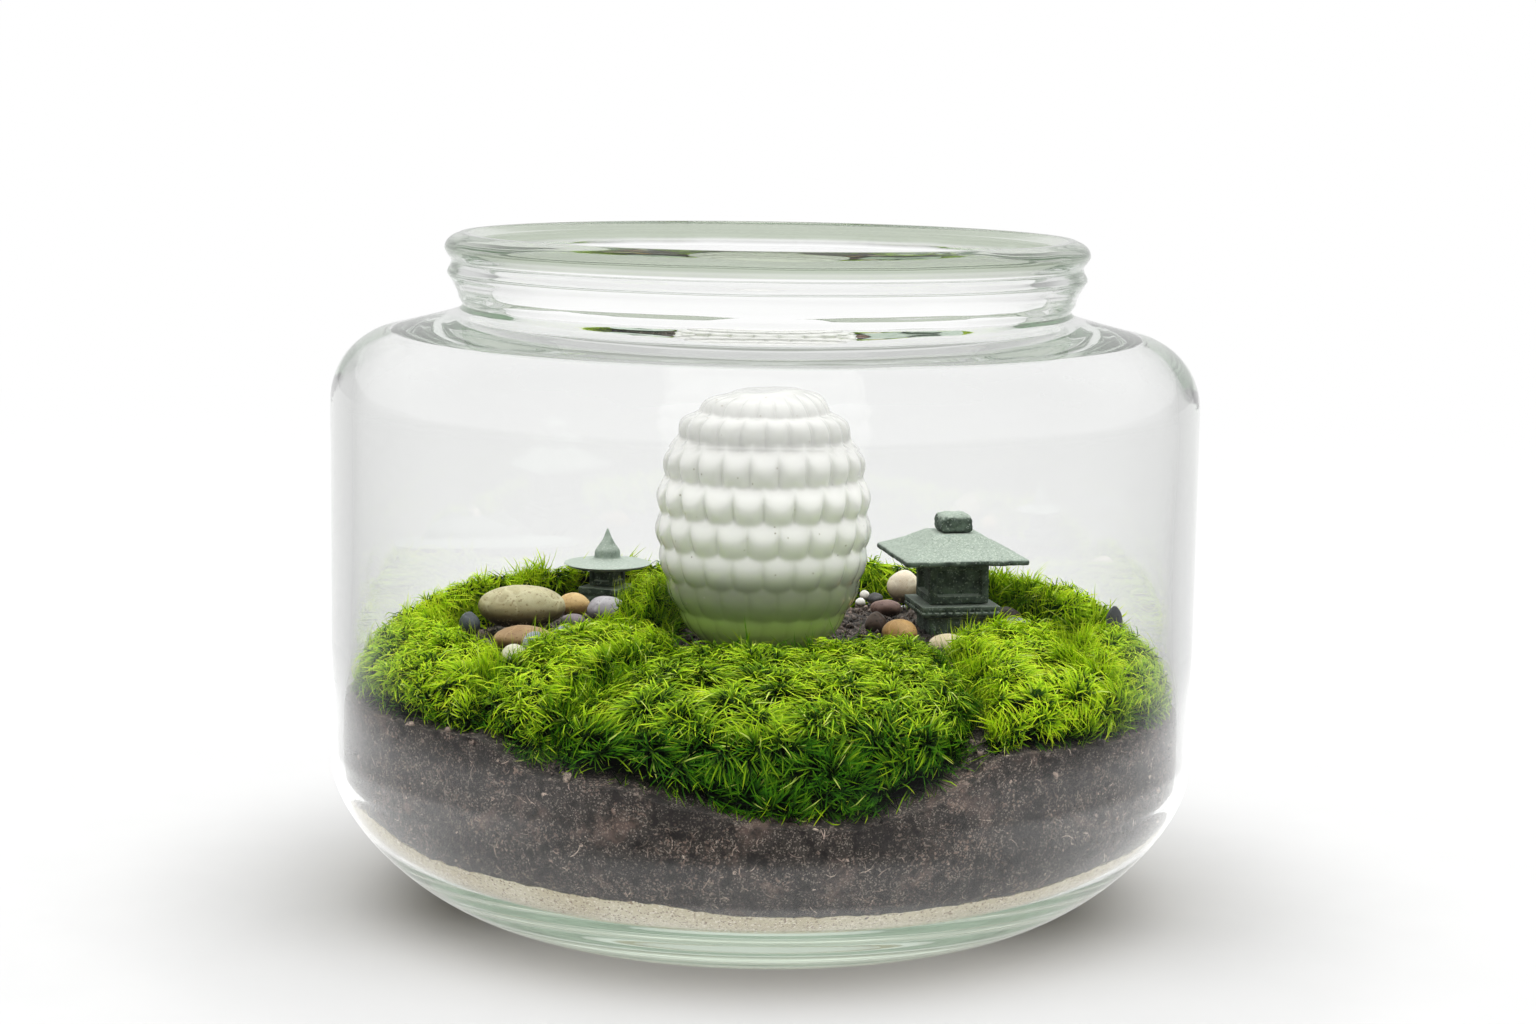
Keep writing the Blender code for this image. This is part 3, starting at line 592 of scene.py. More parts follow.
# %% [markdown]
# The finish of the glass is nearly all in the shader's own values: full transmission, the index of soda glass
# and a polished surface. The faint green is absorption, so it shows only where the sight line runs a long way
# through the glass, in the base and the edges. The lip is tinted a little more, as in the photo. Light
# reaches the planting by a trick: for shadow and diffuse rays the glass is simply clear.

# %% Finish of the glass
GLASS_GREEN = (0.68, 0.87, 0.68, 1.0)
GLASS_DENSITY = 4.2       # per metre
# The lip's darker green is partly the thick glass's own green and partly painted shade, for the darker view
# its curved glass gives.
LIP_GREEN_AND_SHADE = (0.56, 0.61, 0.52, 1.0)
LIP_BAND = 150.2, 151.0   # levels between which the lip's darker tint sets in

glass = Finish("clear green glass", Roughness=0.0, IOR=1.51, Transmission_Weight=1.0, Base_Color=WHITE)
glass.set("Base Color", glass.blend(glass.height().step(*LIP_BAND), WHITE, LIP_GREEN_AND_SHADE))
output = glass.tree.nodes["Material Output"]
clear = glass.add("ShaderNodeBsdfTransparent", output="BSDF")
shown = Wire(glass, glass.shader.outputs["BSDF"])
for kind in ("Is Shadow Ray", "Is Diffuse Ray"):
    shown = glass.add("ShaderNodeMixShader", None, {0: glass.ray(kind), 1: shown, 2: clear}, "Shader")
glass.feed(output.inputs["Surface"], shown)
glass.feed(output.inputs["Volume"], glass.add("ShaderNodeVolumeAbsorption", None, {
    "Color": GLASS_GREEN, "Density": GLASS_DENSITY}, output="Volume"))
hand_over(jar, glass.material, "jar_glass", "glass_jar")

# %% [markdown]
# ## The sand
#
# Under the soil lies a bed of fine, dry, cream sand. It was poured first and took the round of the jar's
# corner, and it stands a little higher to the sides than at the front. It is made as a spin too: a plain
# outline is spun, and then each point is moved to its real height for its direction. The ragged line where
# the soil begins and the small hollows against the glass come from noise.

# %% The rims of sand and soil
# Each rim gives the level against the glass for a direction: 0 is the front, +90 the right.
SAND_RIM = [(-180, 26.0), (-90, 33.0), (-65, 29.0), (-45, 23.5), (-15, 21.8), (0, 19.6), (15, 19.6),
            (35, 21.0), (55, 23.5), (90, 32.0), (180, 26.0)]
SAND_MIDDLE = 19.0
SOIL_RIM = [(-180, 54.0), (-120, 53.0), (-55, 51.5), (-38, 52.5), (-28, 46.0), (-18, 45.5), (-8, 42.0),
            (0, 38.8), (12, 38.2), (20, 41.5), (27, 46.5), (32, 51.5), (50, 50.0), (70, 49.0), (120, 53.0),
            (180, 54.0)]
SOIL_MIDDLE = 58.0
SOIL_SLOPE_START = 46.0
SOIL_SLOPE_POWER = 1.5
SKIN = 0.15               # a hair's gap between the filling and the glass

inner_levels = np.array([z for _, z in inner_outline()[3:]])
inner_radii = np.array([radius for radius, _ in inner_outline()[3:]])


def inside_of_glass(z):
    """Radius of the jar's inside at a height."""
    return np.interp(z, inner_levels, inner_radii) - SKIN


def rim_level(rim, azimuth):
    """Height along a rim, eased between its points."""
    for (a0, z0), (a1, z1) in zip(rim, rim[1:]):
        if a0 <= azimuth <= a1:
            share = (azimuth - a0) / (a1 - a0)
            return z0 + (z1 - z0) * share * share * (3 - 2 * share)
    return rim[0][1]


def azimuth_of(x, y):
    return math.degrees(math.atan2(x, -y))


def ground_level(x, y):
    """Height of the soil at a place of the plan."""
    fall = max(0.0, (math.hypot(x, y) - SOIL_SLOPE_START) / (JAR_RADIUS - WALL - SOIL_SLOPE_START))
    rim = rim_level(SOIL_RIM, azimuth_of(x, y))
    return SOIL_MIDDLE + (rim - SOIL_MIDDLE) * min(1.0, fall) ** SOIL_SLOPE_POWER


def rough(x, y, z, size, offset=0.0):
    """Noise between -1 and 1 whose lumps are about size millimetres."""
    return noise.noise(Vector((x, y, z)) / size + Vector((offset, offset * 0.7, -offset)))


def sand_line(x, y):
    """The ragged line against the glass where the sand ends and the soil begins."""
    return rim_level(SAND_RIM, azimuth_of(x, y)) + 0.5 * rough(x, y, 0, 3.0) + 0.3 * rough(x, y, 0, 0.9)


def pressed(place, level, hollow):
    """A place against the glass, moved to its level and as far in as the glass and a hollow leave it."""
    x, y, z = place
    return place * ([(inside_of_glass(level) - hollow) / math.hypot(x, y)] * 2 + [level / z])


print("soil at the front stands at", rim_level(SOIL_RIM, 0), "mm")

# %% Pour the sand
NOMINAL_TOP = 24.0        # level of the plain outline, before each point goes to its own height
SIDE_STEPS, SIDE_SPACING = 16, 1.6        # points up the side lie closer together lower down
SAND_TOP_RADII = (82, 76, 66, 50, 30, 10, 0)
FLAT_TO, RISES_TO = 83, 88                # the top rises from the middle to the rim; only the rim lies beyond
HAIR = 0.01               # keeps a level apart from the next in a comparison

floor_level = FLOOR + SKIN
rise = NOMINAL_TOP - floor_level
levels = [floor_level + rise * (step / SIDE_STEPS) ** SIDE_SPACING for step in range(SIDE_STEPS + 1)]
outline = ([(radius, floor_level) for radius in (0.0, 30.0, 60.0)]
           + [(float(inside_of_glass(z)), z) for z in levels]
           + [(radius, NOMINAL_TOP) for radius in SAND_TOP_RADII])
sand = spin_outline("sand", outline, steps=360)
places = coordinates(sand.data)
for index, (x, y, z) in enumerate(places):
    radius, rim = math.hypot(x, y), sand_line(x, y)
    if z > NOMINAL_TOP - HAIR and radius < FLAT_TO:
        places[index, 2] = SAND_MIDDLE + (rim - SAND_MIDDLE) * (radius / RISES_TO) ** 3
    elif z > floor_level + HAIR:
        level = floor_level + (rim - floor_level) * (z - floor_level) / rise
        hollow = 0.10 * max(0.0, rough(x, y, level, 1.4, 5.0))
        places[index] = pressed(places[index], level, hollow)
move_points(sand.data, places)
print("sand:", len(sand.data.vertices), "points")

# %% Finish of the sand
grains = Finish("dry cream sand", Roughness=0.95)
tone = grains.speck(2600, "Red")
drift = grains.noise(55, detail=4)
pale = grains.blend(drift.step(0.35, 0.65), colour(216, 208, 180), colour(202, 190, 156))
speckled = grains.blend(tone.step(0.82, 0.95), pale, colour(150, 128, 98))
grains.set("Base Color", grains.blend(tone.step(0.0, 0.25), colour(240, 232, 214), speckled))
grains.bump(grains.cells(2600), 0.25, 0.6)
hand_over(sand, grains.material, "sand", "sand_layer")

# %% [markdown]
# ## The soil
#
# The soil is a dark, moist, crumbly mix. Against the glass it shows a skin of crumbs and dark hollows, with
# many pinkish and tan specks of bark. Two things make it: a bed whose surface is moved by noise at several
# sizes, and thousands of loose crumbs laid on it and pressed against the glass. Five crumbs are modelled,
# each a ball of twenty faces with its corners pushed about, and then copied by arrays, because one object per
# crumb would be too many.

# %% Lay the bed of soil
SOIL_LOW, SOIL_HIGH = 24.0, 58.0      # nominal levels of the plain outline
SOIL_RADIUS = 94.9
SOIL_SIDE_STEPS, SOIL_TOP_STEPS = 34, 42
SOIL_OVER_SAND = 0.05     # gap to the sand at the glass, and below in the middle
SOIL_OVER_MIDDLE = 0.6
SOIL_RIM_FROM = 94.0      # points farther out than this are the rim
LUMPS_END, LUMPS_FADE = 95.5, 6.0         # the lumps fade over this far, to nothing at the glass

side = [(SOIL_RADIUS, SOIL_LOW + (SOIL_HIGH - SOIL_LOW) * step / SOIL_SIDE_STEPS)
        for step in range(SOIL_SIDE_STEPS)]
outline = ([(radius, SOIL_LOW) for radius in (0.0, 30.0, 60.0, 80.0)] + side
           + [(SOIL_RADIUS * step / SOIL_TOP_STEPS, SOIL_HIGH) for step in range(SOIL_TOP_STEPS, -1, -1)])
soil = spin_outline("soil_bed", outline, steps=400)
places = coordinates(soil.data)
for index, (x, y, z) in enumerate(places):
    radius, low = math.hypot(x, y), sand_line(x, y) + SOIL_OVER_SAND
    if z < SOIL_LOW + HAIR and radius < SOIL_RIM_FROM:
        places[index, 2] = SAND_MIDDLE + SOIL_OVER_MIDDLE + (low - SAND_MIDDLE) * (radius / 90) ** 3
    elif z > SOIL_HIGH - HAIR:
        lumps = 0.9 * rough(x, y, 0, 4.0, 3.0) + 0.6 * rough(x, y, 0, 1.6, 9.0)
        places[index, 2] = ground_level(x, y) + lumps * min(1.0, (LUMPS_END - radius) / LUMPS_FADE)
        if radius > SOIL_RIM_FROM:
            places[index, :2] *= inside_of_glass(places[index, 2]) / SOIL_RADIUS
    else:
        share = (z - SOIL_LOW) / (SOIL_HIGH - SOIL_LOW)
        level = low + (rim_level(SOIL_RIM, azimuth_of(x, y)) - low) * share
        hollow = 0.9 * max(0.0, rough(x, y, level, 3.2, 1.0)) + 0.7 * max(0.0, rough(x, y, level, 1.3, 7.0))
        places[index] = pressed(places[index], level, hollow)
move_points(soil.data, places)
print("soil bed:", len(soil.data.vertices), "points")

# %% Copies of a small shape, joined into one mesh
def shape_of(piece):
    """The points and triangles of a small piece, which is then removed."""
    tool = bmesh.new()
    tool.from_mesh(piece.data)
    bmesh.ops.triangulate(tool, faces=tool.faces)
    points = np.array([vertex.co for vertex in tool.verts]) / MM
    triangles = np.array([[vertex.index for vertex in face.verts] for face in tool.faces])
    tool.free()
    bpy.data.objects.remove(piece)
    return points, triangles


def mesh_piece(name, points, triangles, **attributes):
    """A piece from arrays: points in millimetres, triangles, and one number per point for each attribute."""
    mesh = bpy.data.meshes.new(name)
    mesh.from_pydata(points * MM, [], triangles)
    mesh.shade_smooth()
    for label, values in attributes.items():
        mesh.attributes.new(label, "FLOAT", "POINT").data.foreach_set("value", values.astype(np.float32))
    piece = bpy.data.objects.new(name, mesh)
    bpy.context.scene.collection.objects.link(piece)
    return piece


def random_turns(draw, count):
    """Random rotation matrices."""
    q = draw.normal(size=(count, 4))
    w, x, y, z = (q / np.linalg.norm(q, axis=1)[:, None]).T
    return np.stack([np.stack([1 - 2 * (y * y + z * z), 2 * (x * y - z * w), 2 * (x * z + y * w)], -1),
                     np.stack([2 * (x * y + z * w), 1 - 2 * (x * x + z * z), 2 * (y * z - x * w)], -1),
                     np.stack([2 * (x * z - y * w), 2 * (y * z + x * w), 1 - 2 * (x * x + y * y)], -1)], 1)


def crumb_shape(seed):
    """A crumb: a ball of twenty faces, one millimetre across, with its corners pushed in and out."""
    deselect_all()
    bpy.ops.mesh.primitive_ico_sphere_add(subdivisions=1, radius=0.5 * MM)
    crumb = start_piece("crumb")
    bpy.ops.object.mode_set(mode="EDIT")
    bpy.ops.mesh.select_all(action="SELECT")
    bpy.ops.transform.vertex_random(offset=0.22 * MM, uniform=0.6, normal=0.0, seed=seed)
    bpy.ops.object.mode_set(mode="OBJECT")
    return shape_of(crumb)


crumb_shapes = [crumb_shape(seed) for seed in range(5)]
print("a crumb has", len(crumb_shapes[0][1]), "faces")

# %% [markdown]
# Where a crumb may lie is read from the plan of the moss: loose crumbs are spread over the open ground, with
# few under the moss, and a second lot is pressed against the glass below the moss. Each crumb carries a
# number, its shade, from which the finish later takes its colour: most are nearly black, some brown, and a
# few pale.

# %% Plans of the moss cushions, in millimetres
# The number before each plan says how fresh and how lit the cushion is, partly its own tone and partly
# painted
# light: the front one, in shade, is deep green, others are paler.
MOSS_CUSHIONS = {
    "moss_front": (0.01, [(-42, -84), (-20, -93), (2, -95), (22, -92), (41, -85), (45, -62), (41, -34),
                          (38, -14), (22, -15), (14, -25), (0, -29), (-16, -26), (-25, -42), (-33, -62)]),
    "moss_front_left": (0.22, [(-45.5, -83), (-57, -75), (-57.5, -58), (-52, -40), (-50, -23), (-43, -8),
                               (-33, -4), (-26, -9), (-19, -24), (-28, -41), (-36, -62)]),
    "moss_left": (0.48, [(-60, -73), (-76, -57), (-88, -35), (-94, -8), (-94, 8), (-80, 11), (-74, -4),
                         (-66, -22), (-57, -36), (-60, -58)]),
    "moss_rear_left": (0.80, [(-94, 13), (-86, 39), (-71, 63), (-48, 82), (-23, 92), (-19, 84), (-31, 80),
                              (-42, 78.5), (-54, 72), (-60, 57), (-73, 35), (-79, 15)]),
    "moss_beside_ornament": (0.44, [(-25, -5), (-34, -1), (-36.5, 12), (-31, 23), (-27, 32), (-20, 39),
                                    (-14.5, 33), (-19.5, 22), (-24.5, 9)]),
    "moss_rear": (0.36, [(10, 94), (30, 90), (49, 80), (46, 75), (36, 79), (22, 76), (12, 80)]),
    "moss_rear_right": (0.42, [(52, 79), (70, 64), (84, 44), (90, 26), (80, 24.5), (71, 26), (68.5, 36),
                               (64, 48), (56, 55), (49, 67)]),
    "moss_right": (0.48, [(92, 9), (94, -10), (90, -31), (84, -45), (75, -40), (72, -20), (73, -4),
                          (80, 11)]),
    "moss_front_right": (0.60, [(47.5, -82), (64, -70), (80, -52), (71, -40), (68, -20), (69, -2), (64, 9),
                                (54, 4), (48, -6), (44, -16), (45, -36), (49, -62)]),
}


def inside_plan(x, y, corners):
    """True if a place lies inside a cushion's plan."""
    hit = False
    for (x0, y0), (x1, y1) in zip(corners, corners[1:] + corners[:1]):
        if (y0 > y) != (y1 > y) and x < (x1 - x0) * (y - y0) / (y1 - y0) + x0:
            hit = not hit
    return hit


def under_moss(x, y):
    return any(inside_plan(x, y, corners) for _, corners in MOSS_CUSHIONS.values())


print("moss cushions:", len(MOSS_CUSHIONS))

# %% Scatter the crumbs
LOOSE_CRUMBS = 3400
GLASS_CRUMBS = 6000
CHIPS = 0.08              # share of the crumbs at the glass that are large pale chips of bark
UNDER_MOSS = 0.08         # share of the loose crumbs that may lie under moss
BY_ORNAMENT = 14          # none lie nearer to the middle than this, under the ornament


def around(azimuth, radius):
    return radius * math.sin(math.radians(azimuth)), -radius * math.cos(math.radians(azimuth))


draw = np.random.default_rng(11)
spots, widths = [], []
while len(spots) < LOOSE_CRUMBS:
    azimuth, radius = draw.uniform(-180, 180), 94 * math.sqrt(draw.random())
    x, y = around(azimuth, radius)
    if radius > BY_ORNAMENT and (not under_moss(x, y) or draw.random() < UNDER_MOSS):
        spots.append((x, y, ground_level(x, y) + draw.uniform(-0.3, 0.5)))
        widths.append(0.5 + 2.0 * draw.random() ** 3)
while len(spots) < LOOSE_CRUMBS + GLASS_CRUMBS:
    azimuth = draw.uniform(-180, 180)
    low, high = rim_level(SAND_RIM, azimuth), rim_level(SOIL_RIM, azimuth)
    z, width = draw.uniform(low, high + 1.0), 0.28 + 1.0 * draw.random() ** 4
    if draw.random() < CHIPS:
        width = draw.uniform(1.2, 2.5)
    spots.append((*around(azimuth, inside_of_glass(z) - 0.45 * width), z))
    widths.append(width)
spots, widths = np.array(spots), np.array(widths)
shades = draw.random(len(spots)) ** 1.4
chips = (widths > 1.15) * (np.arange(len(spots)) >= LOOSE_CRUMBS)
shades = np.where(chips, 0.55 + 0.45 * shades, shades)
turns = random_turns(draw, len(spots))
points, triangles, shade, count = [], [], [], 0
for kind, (corner_points, corner_triangles) in enumerate(crumb_shapes):
    mine = np.arange(len(spots)) % len(crumb_shapes) == kind
    stretch = widths[mine][:, None] * draw.uniform(0.6, 1.2, (mine.sum(), 3))
    copies = np.einsum("nij,nkj->nki", turns[mine], corner_points[None] * stretch[:, None])
    copies = copies + spots[mine][:, None]
    starts = count + np.arange(mine.sum()) * len(corner_points)
    points.append(copies.reshape(-1, 3))
    triangles.append((corner_triangles[None] + starts[:, None, None]).reshape(-1, 3))
    shade.append(np.repeat(shades[mine], len(corner_points)))
    count += copies.shape[0] * copies.shape[1]
points = np.concatenate(points)
reach = np.hypot(points[:, 0], points[:, 1])
limit = inside_of_glass(points[:, 2]) + SKIN * 0.6
points[:, :2] *= np.minimum(1.0, limit / reach)[:, None]
crumbs = mesh_piece("soil_crumbs", points, np.concatenate(triangles), shade=np.concatenate(shade))
soil.data.attributes.new("shade", "FLOAT", "POINT").data.foreach_set(
    "value", np.full(len(soil.data.vertices), 0.15, np.float32))
print("crumbs:", len(spots))

# %% Finish of the soil
# The base is a near-black brown. The shade picks each crumb's colour, and fine patterns add specks of bark
# that are too small to model.
earth = Finish("moist dark soil", Roughness=0.9)
shade = earth.attribute("shade")
body = earth.ramp(shade, (0.0, colour(48, 43, 40)), (0.40, colour(78, 70, 65)), (0.72, colour(122, 108, 99)),
                  (0.90, colour(172, 150, 136)), (1.0, colour(212, 194, 176)))
specks = earth.speck(2100, "Red")
patches = earth.noise(110, detail=4)
flecked = earth.blend(specks.step(0.80, 0.9) * patches.step(0.40, 0.62) * 0.8, body,
                      colour(150, 126, 112))
dust = earth.speck(3600, "Green")
flecked = earth.blend(dust.step(0.78, 0.9) * 0.7, flecked, colour(150, 138, 126))
flecked = earth.blend(dust.step(0.22, 0.08) * 0.8, flecked, colour(30, 26, 24))
dark = earth.blend(earth.noise(420, detail=3).step(0.30, 0.55), colour(36, 31, 28), flecked)
clods = earth.noise(80, detail=5, roughness=0.7)
dark = earth.blend(clods.step(0.52, 0.38) * 0.55, dark, colour(34, 30, 29))
dark = earth.blend(clods.step(0.54, 0.68) * 0.32, dark, colour(146, 120, 108))
earth.set("Base Color", dark)
earth.set("Roughness", patches * 0.3 + 0.65)
earth.bump(earth.noise(900, detail=4, roughness=0.7), 0.5, 0.7)
hand_over(soil, earth.material, "soil", "soil")
hand_over(crumbs, earth.material, "soil", "soil")

# %% [markdown]
# ## The ornament's form
#
# The ornament is slip-cast porcelain, a tall egg with a flat top. It is drawn here, before the moss, because
# the leaves beside it must know where its surface is.

# %% Sizes of the ornament
ORNAMENT_WIDEST = 88.0
ORNAMENT_RADIUS = 24.4
ORNAMENT_FOOT = 57.0
ORNAMENT_TOP = 119.3
ORNAMENT_LOWER_AXIS = 34.0
ORNAMENT_UPPER_AXIS = 32.0
ORNAMENT_UPPER_POWER = 2.3


def ornament_radius(z):
    """Radius of the plain egg under its scales."""
    if z < ORNAMENT_WIDEST:
        return ORNAMENT_RADIUS * math.sqrt(1 - ((ORNAMENT_WIDEST - z) / ORNAMENT_LOWER_AXIS) ** 2)
    climb = (z - ORNAMENT_WIDEST) / ORNAMENT_UPPER_AXIS
    return ORNAMENT_RADIUS * (1 - climb ** ORNAMENT_UPPER_POWER) ** (1 / ORNAMENT_UPPER_POWER)


print("ornament:", 2 * ORNAMENT_RADIUS, "mm wide,", ORNAMENT_TOP - ORNAMENT_FOOT, "mm tall")

# %% [markdown]
# ## The moss
#
# The moss is a cushion moss with long, thin, curved leaves. They grow in tufts, and in each tuft they sweep
# over to the same side. Hair particles would be the quick way, but an exported model loses them. So one leaf
# is modelled and copied tens of thousands of times in arrays, each copy bent along its own curve. A dark,
# lumpy body inside each cushion keeps the gaps between tufts deep and dark: its dark is partly that of the
# old leaves lower down and partly painted shade, and painted light makes it greener on top and near the tips.

# %% One leaf, modelled flat
def leaf_shape():
    """A blade one unit long and one wide, narrow at its foot, ending in a point."""
    deselect_all()
    bpy.ops.mesh.primitive_plane_add(size=MM, location=(0.5 * MM, 0, 0))
    leaf = start_piece("leaf")
    bpy.ops.object.transform_apply(location=True)
    bpy.ops.object.mode_set(mode="EDIT")
    pick(leaf, "verts", lambda vertex: vertex.co.x > 0.5 * MM)
    bpy.ops.transform.translate(value=(-0.68 * MM, 0, 0))
    for run, width in ((0.33, 0.86), (0.22, 0.62)):
        bpy.ops.mesh.extrude_region_move(TRANSFORM_OT_translate={"value": (run * MM, 0, 0)})
        bpy.ops.transform.resize(value=(1, width, 1))
    bpy.ops.mesh.extrude_region_move(TRANSFORM_OT_translate={"value": (0.13 * MM, 0, 0)})
    bpy.ops.mesh.merge(type="CENTER")
    pick(leaf, "verts", lambda vertex: vertex.co.x < 0.01 * MM)
    bpy.ops.transform.resize(value=(1, 0.6, 1))
    bpy.ops.object.mode_set(mode="OBJECT")
    return shape_of(leaf)


leaf_points, leaf_triangles = leaf_shape()
print("leaf:", len(leaf_points), "points,", len(leaf_triangles), "triangles")


def grow_leaves(roots, middles, tips, widths, sides):
    """A copy of the leaf on each curve from a root, past a middle, to a tip."""
    along, across = leaf_points[:, 0][None, :, None], leaf_points[:, 1][None, :, None]
    path = (roots[:, None] * (1 - along) ** 2 + middles[:, None] * 2 * along * (1 - along)
            + tips[:, None] * along ** 2)
    points = path + sides[:, None] * across * widths[:, None, None]
    starts = np.arange(len(roots))[:, None, None] * len(leaf_points)
    return points.reshape(-1, 3), (leaf_triangles[None] + starts).reshape(-1, 3)


def unit(vectors):
    return vectors / np.maximum(np.linalg.norm(vectors, axis=1), 1e-9)[:, None]


# %% Threads of root in the soil
# The same blade, made thin, gives the pale threads of root and bark that lie in the soil against the glass.
THREADS = 620

draw = np.random.default_rng(12)
azimuths = draw.uniform(-180, 180, THREADS)
turned = np.radians(azimuths)
heights = np.array([draw.uniform(rim_level(SAND_RIM, azimuth) + 1, rim_level(SOIL_RIM, azimuth))
                    for azimuth in azimuths])
outwards = np.stack([np.sin(turned), -np.cos(turned), np.zeros(THREADS)], 1)
sideways = np.stack([np.cos(turned), np.sin(turned), np.zeros(THREADS)], 1)
lying = draw.uniform(0, math.pi, (THREADS, 1))
way = sideways * np.cos(lying) + np.array([0, 0, 1.0]) * np.sin(lying)
bend = sideways * -np.sin(lying) + np.array([0, 0, 1.0]) * np.cos(lying)
lengths = draw.uniform(1.2, 3.8, (THREADS, 1))
middles = outwards * inside_of_glass(heights)[:, None] + np.array([0, 0, 1.0]) * heights[:, None]
bent = middles + bend * lengths * draw.uniform(-0.7, 0.7, (THREADS, 1))
points, triangles = grow_leaves(middles - way * lengths / 2, bent, middles + way * lengths / 2,
                                draw.uniform(0.14, 0.30, THREADS), bend)
points[:, :2] *= (inside_of_glass(points[:, 2]) / np.hypot(points[:, 0], points[:, 1]))[:, None]
threads = mesh_piece("soil_threads", points, triangles,
                     shade=np.repeat(draw.uniform(0.70, 0.98, THREADS), len(leaf_points)))
hand_over(threads, earth.material, "soil", "soil")

# %% The form of a cushion and places on it
FORM_VOXEL = 1.3
DEEPEST = 0.36            # share of a cushion's thickness that its body may sink


def cushion_form(node):
    """A copy of a cushion's solid, remeshed finely and rounded: it says where the leaf tips reach."""
    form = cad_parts[node].copy()
    form.data = form.data.copy()
    bpy.context.scene.collection.objects.link(form)
    form.name = node + "_form"
    form.modifiers.clear()
    work_on(form)
    bpy.ops.object.mode_set(mode="EDIT")
    bpy.ops.mesh.select_all(action="SELECT")
    bpy.ops.mesh.remove_doubles(threshold=0.01 * MM)
    bpy.ops.object.mode_set(mode="OBJECT")
    apply_modifier(form, "REMESH", mode="VOXEL", voxel_size=FORM_VOXEL * MM)
    bpy.ops.object.mode_set(mode="EDIT")
    bpy.ops.mesh.select_all(action="SELECT")
    bpy.ops.mesh.separate(type="LOOSE")
    bpy.ops.object.mode_set(mode="OBJECT")
    islands = sorted(bpy.context.selected_objects, key=lambda island: len(island.data.vertices))
    for island in islands[:-1]:
        bpy.data.objects.remove(island)
    form = islands[-1]
    apply_modifier(form, "SMOOTH", factor=0.5, iterations=5)
    apply_modifier(form, "TRIANGULATE")
    return form


def depth_below(form, wanted):
    """How far each point may sink along its normal: as wanted, but not much past a third of the way."""
    tree = tree_of(form)
    sunk = []
    for vertex, depth in zip(form.data.vertices, wanted):
        through = tree.ray_cast(vertex.co - vertex.normal * 0.05 * MM, -vertex.normal)[3] or 1.0
        sunk.append(min(depth, through / MM * DEEPEST))
    return np.array(sunk)


def scatter_on(form, density, draw, keep):
    """Random places on a form with their normals, so many to the square millimetre, where keep says so."""
    points, normals, corners = coordinates(form.data), normals_of(form.data), corners_of(form.data)
    a, b, c = (points[corners[:, side]] for side in range(3))
    areas = np.linalg.norm(np.cross(b - a, c - a), axis=1) / 2 * keep((a + b + c) / 3) + 1e-12
    count = int(areas.sum() * density)
    chosen = draw.choice(len(corners), count, p=areas / areas.sum())
    u, v = draw.random(count), draw.random(count)
    u, v = np.where(u + v > 1, 1 - u, u)[:, None], np.where(u + v > 1, 1 - v, v)[:, None]
    places = a[chosen] + (b - a)[chosen] * u + (c - a)[chosen] * v
    n = [normals[corners[chosen, side]] for side in range(3)]
    return places, unit(n[0] * (1 - u - v) + n[1] * u + n[2] * v)


def near_ground(places):
    """How high each place stands over the soil."""
    return places[:, 2] - np.array([ground_level(x, y) for x, y in places[:, :2]])


def from_axis(places):
    return np.hypot(places[:, 0], places[:, 1])


print("cushion forms are cut in steps of", FORM_VOXEL, "mm")

# %% Leaves of one cushion
LEAF_DENSITY = 2.8        # leaves to the square millimetre of cushion
TUFT_SPACING = 5.6
TUFT_RISE = -1.7, 0.5     # how far a tuft stands above or below the cushion's form
MOST_LEAVES = 24500
GLASS_REACH = 94.95       # leaves press against the glass and go no further
BODY_DEPTH = 3.2          # how far the dark body lies below the tips
BARE_EDGE = [(-26, 0.0), (-20, 6.0), (-10, 5.5), (-4, 0.0)]     # direction, height that is bare of leaves
BY_GLASS = 86.0           # how far out that holds
RAGGED = 9.0              # height and width of the ragged edge by the glass
OPEN_SIDE = 90.0          # nearer to the axis than this, leaves on a cushion's side stand out farther
SIDE_RISE, SIDE_REACH = 2.0, 0.7
# Painted shade: leaves low over the soil by the glass are made darker.
LOW_SHADE_ZONE = 84.0, 8.0      # farther out and lower over the soil than this, leaves are darker
LEAF_REACH, STRAY_REACH = (1.2, 3.9), (0.6, 2.8)
ROOT_DEPTH = 4.6, 6.2
STRAY_SHARE = 0.22        # of the leaves stand out from their tuft
DRY_SHARE = 0.03          # of the leaves are pale and dry
STRANDS = 0.30            # to the square millimetre
STRAND_ZONE = 88.0, 0.5, 7.0              # how far out they root, and between which heights over the soil
STRAND_LENGTH = 3.0, 8.5
ORNAMENT_CLEAR, ORNAMENT_NEAR = 0.9, 40.0     # gap to the ornament, and how far out that is looked at


def tufts_of(form, draw):
    """The middles of the tufts, each with the way it sweeps, how high it stands and its tint."""
    places, normals = scatter_on(form, 1 / TUFT_SPACING ** 2, draw, lambda p: near_ground(p) > -1.0)
    sweep = draw.normal(size=places.shape)
    sweep[:, 2] += 0.2
    sweep = unit(across_only(sweep, normals))
    return places, sweep, draw.uniform(*TUFT_RISE, len(places)), draw.random(len(places))


def leafy(places):
    """Where leaves grow: not right at the soil, and by the glass the edge is ragged, with one dark hollow."""
    ragged = np.array([RAGGED * max(0.0, rough(*place, RAGGED, 4.0)) for place in places])
    hollow = np.interp(np.degrees(np.arctan2(places[:, 0], -places[:, 1])), *zip(*BARE_EDGE))
    return near_ground(places) > 0.4 + np.maximum(ragged, hollow) * (from_axis(places) > BY_GLASS)


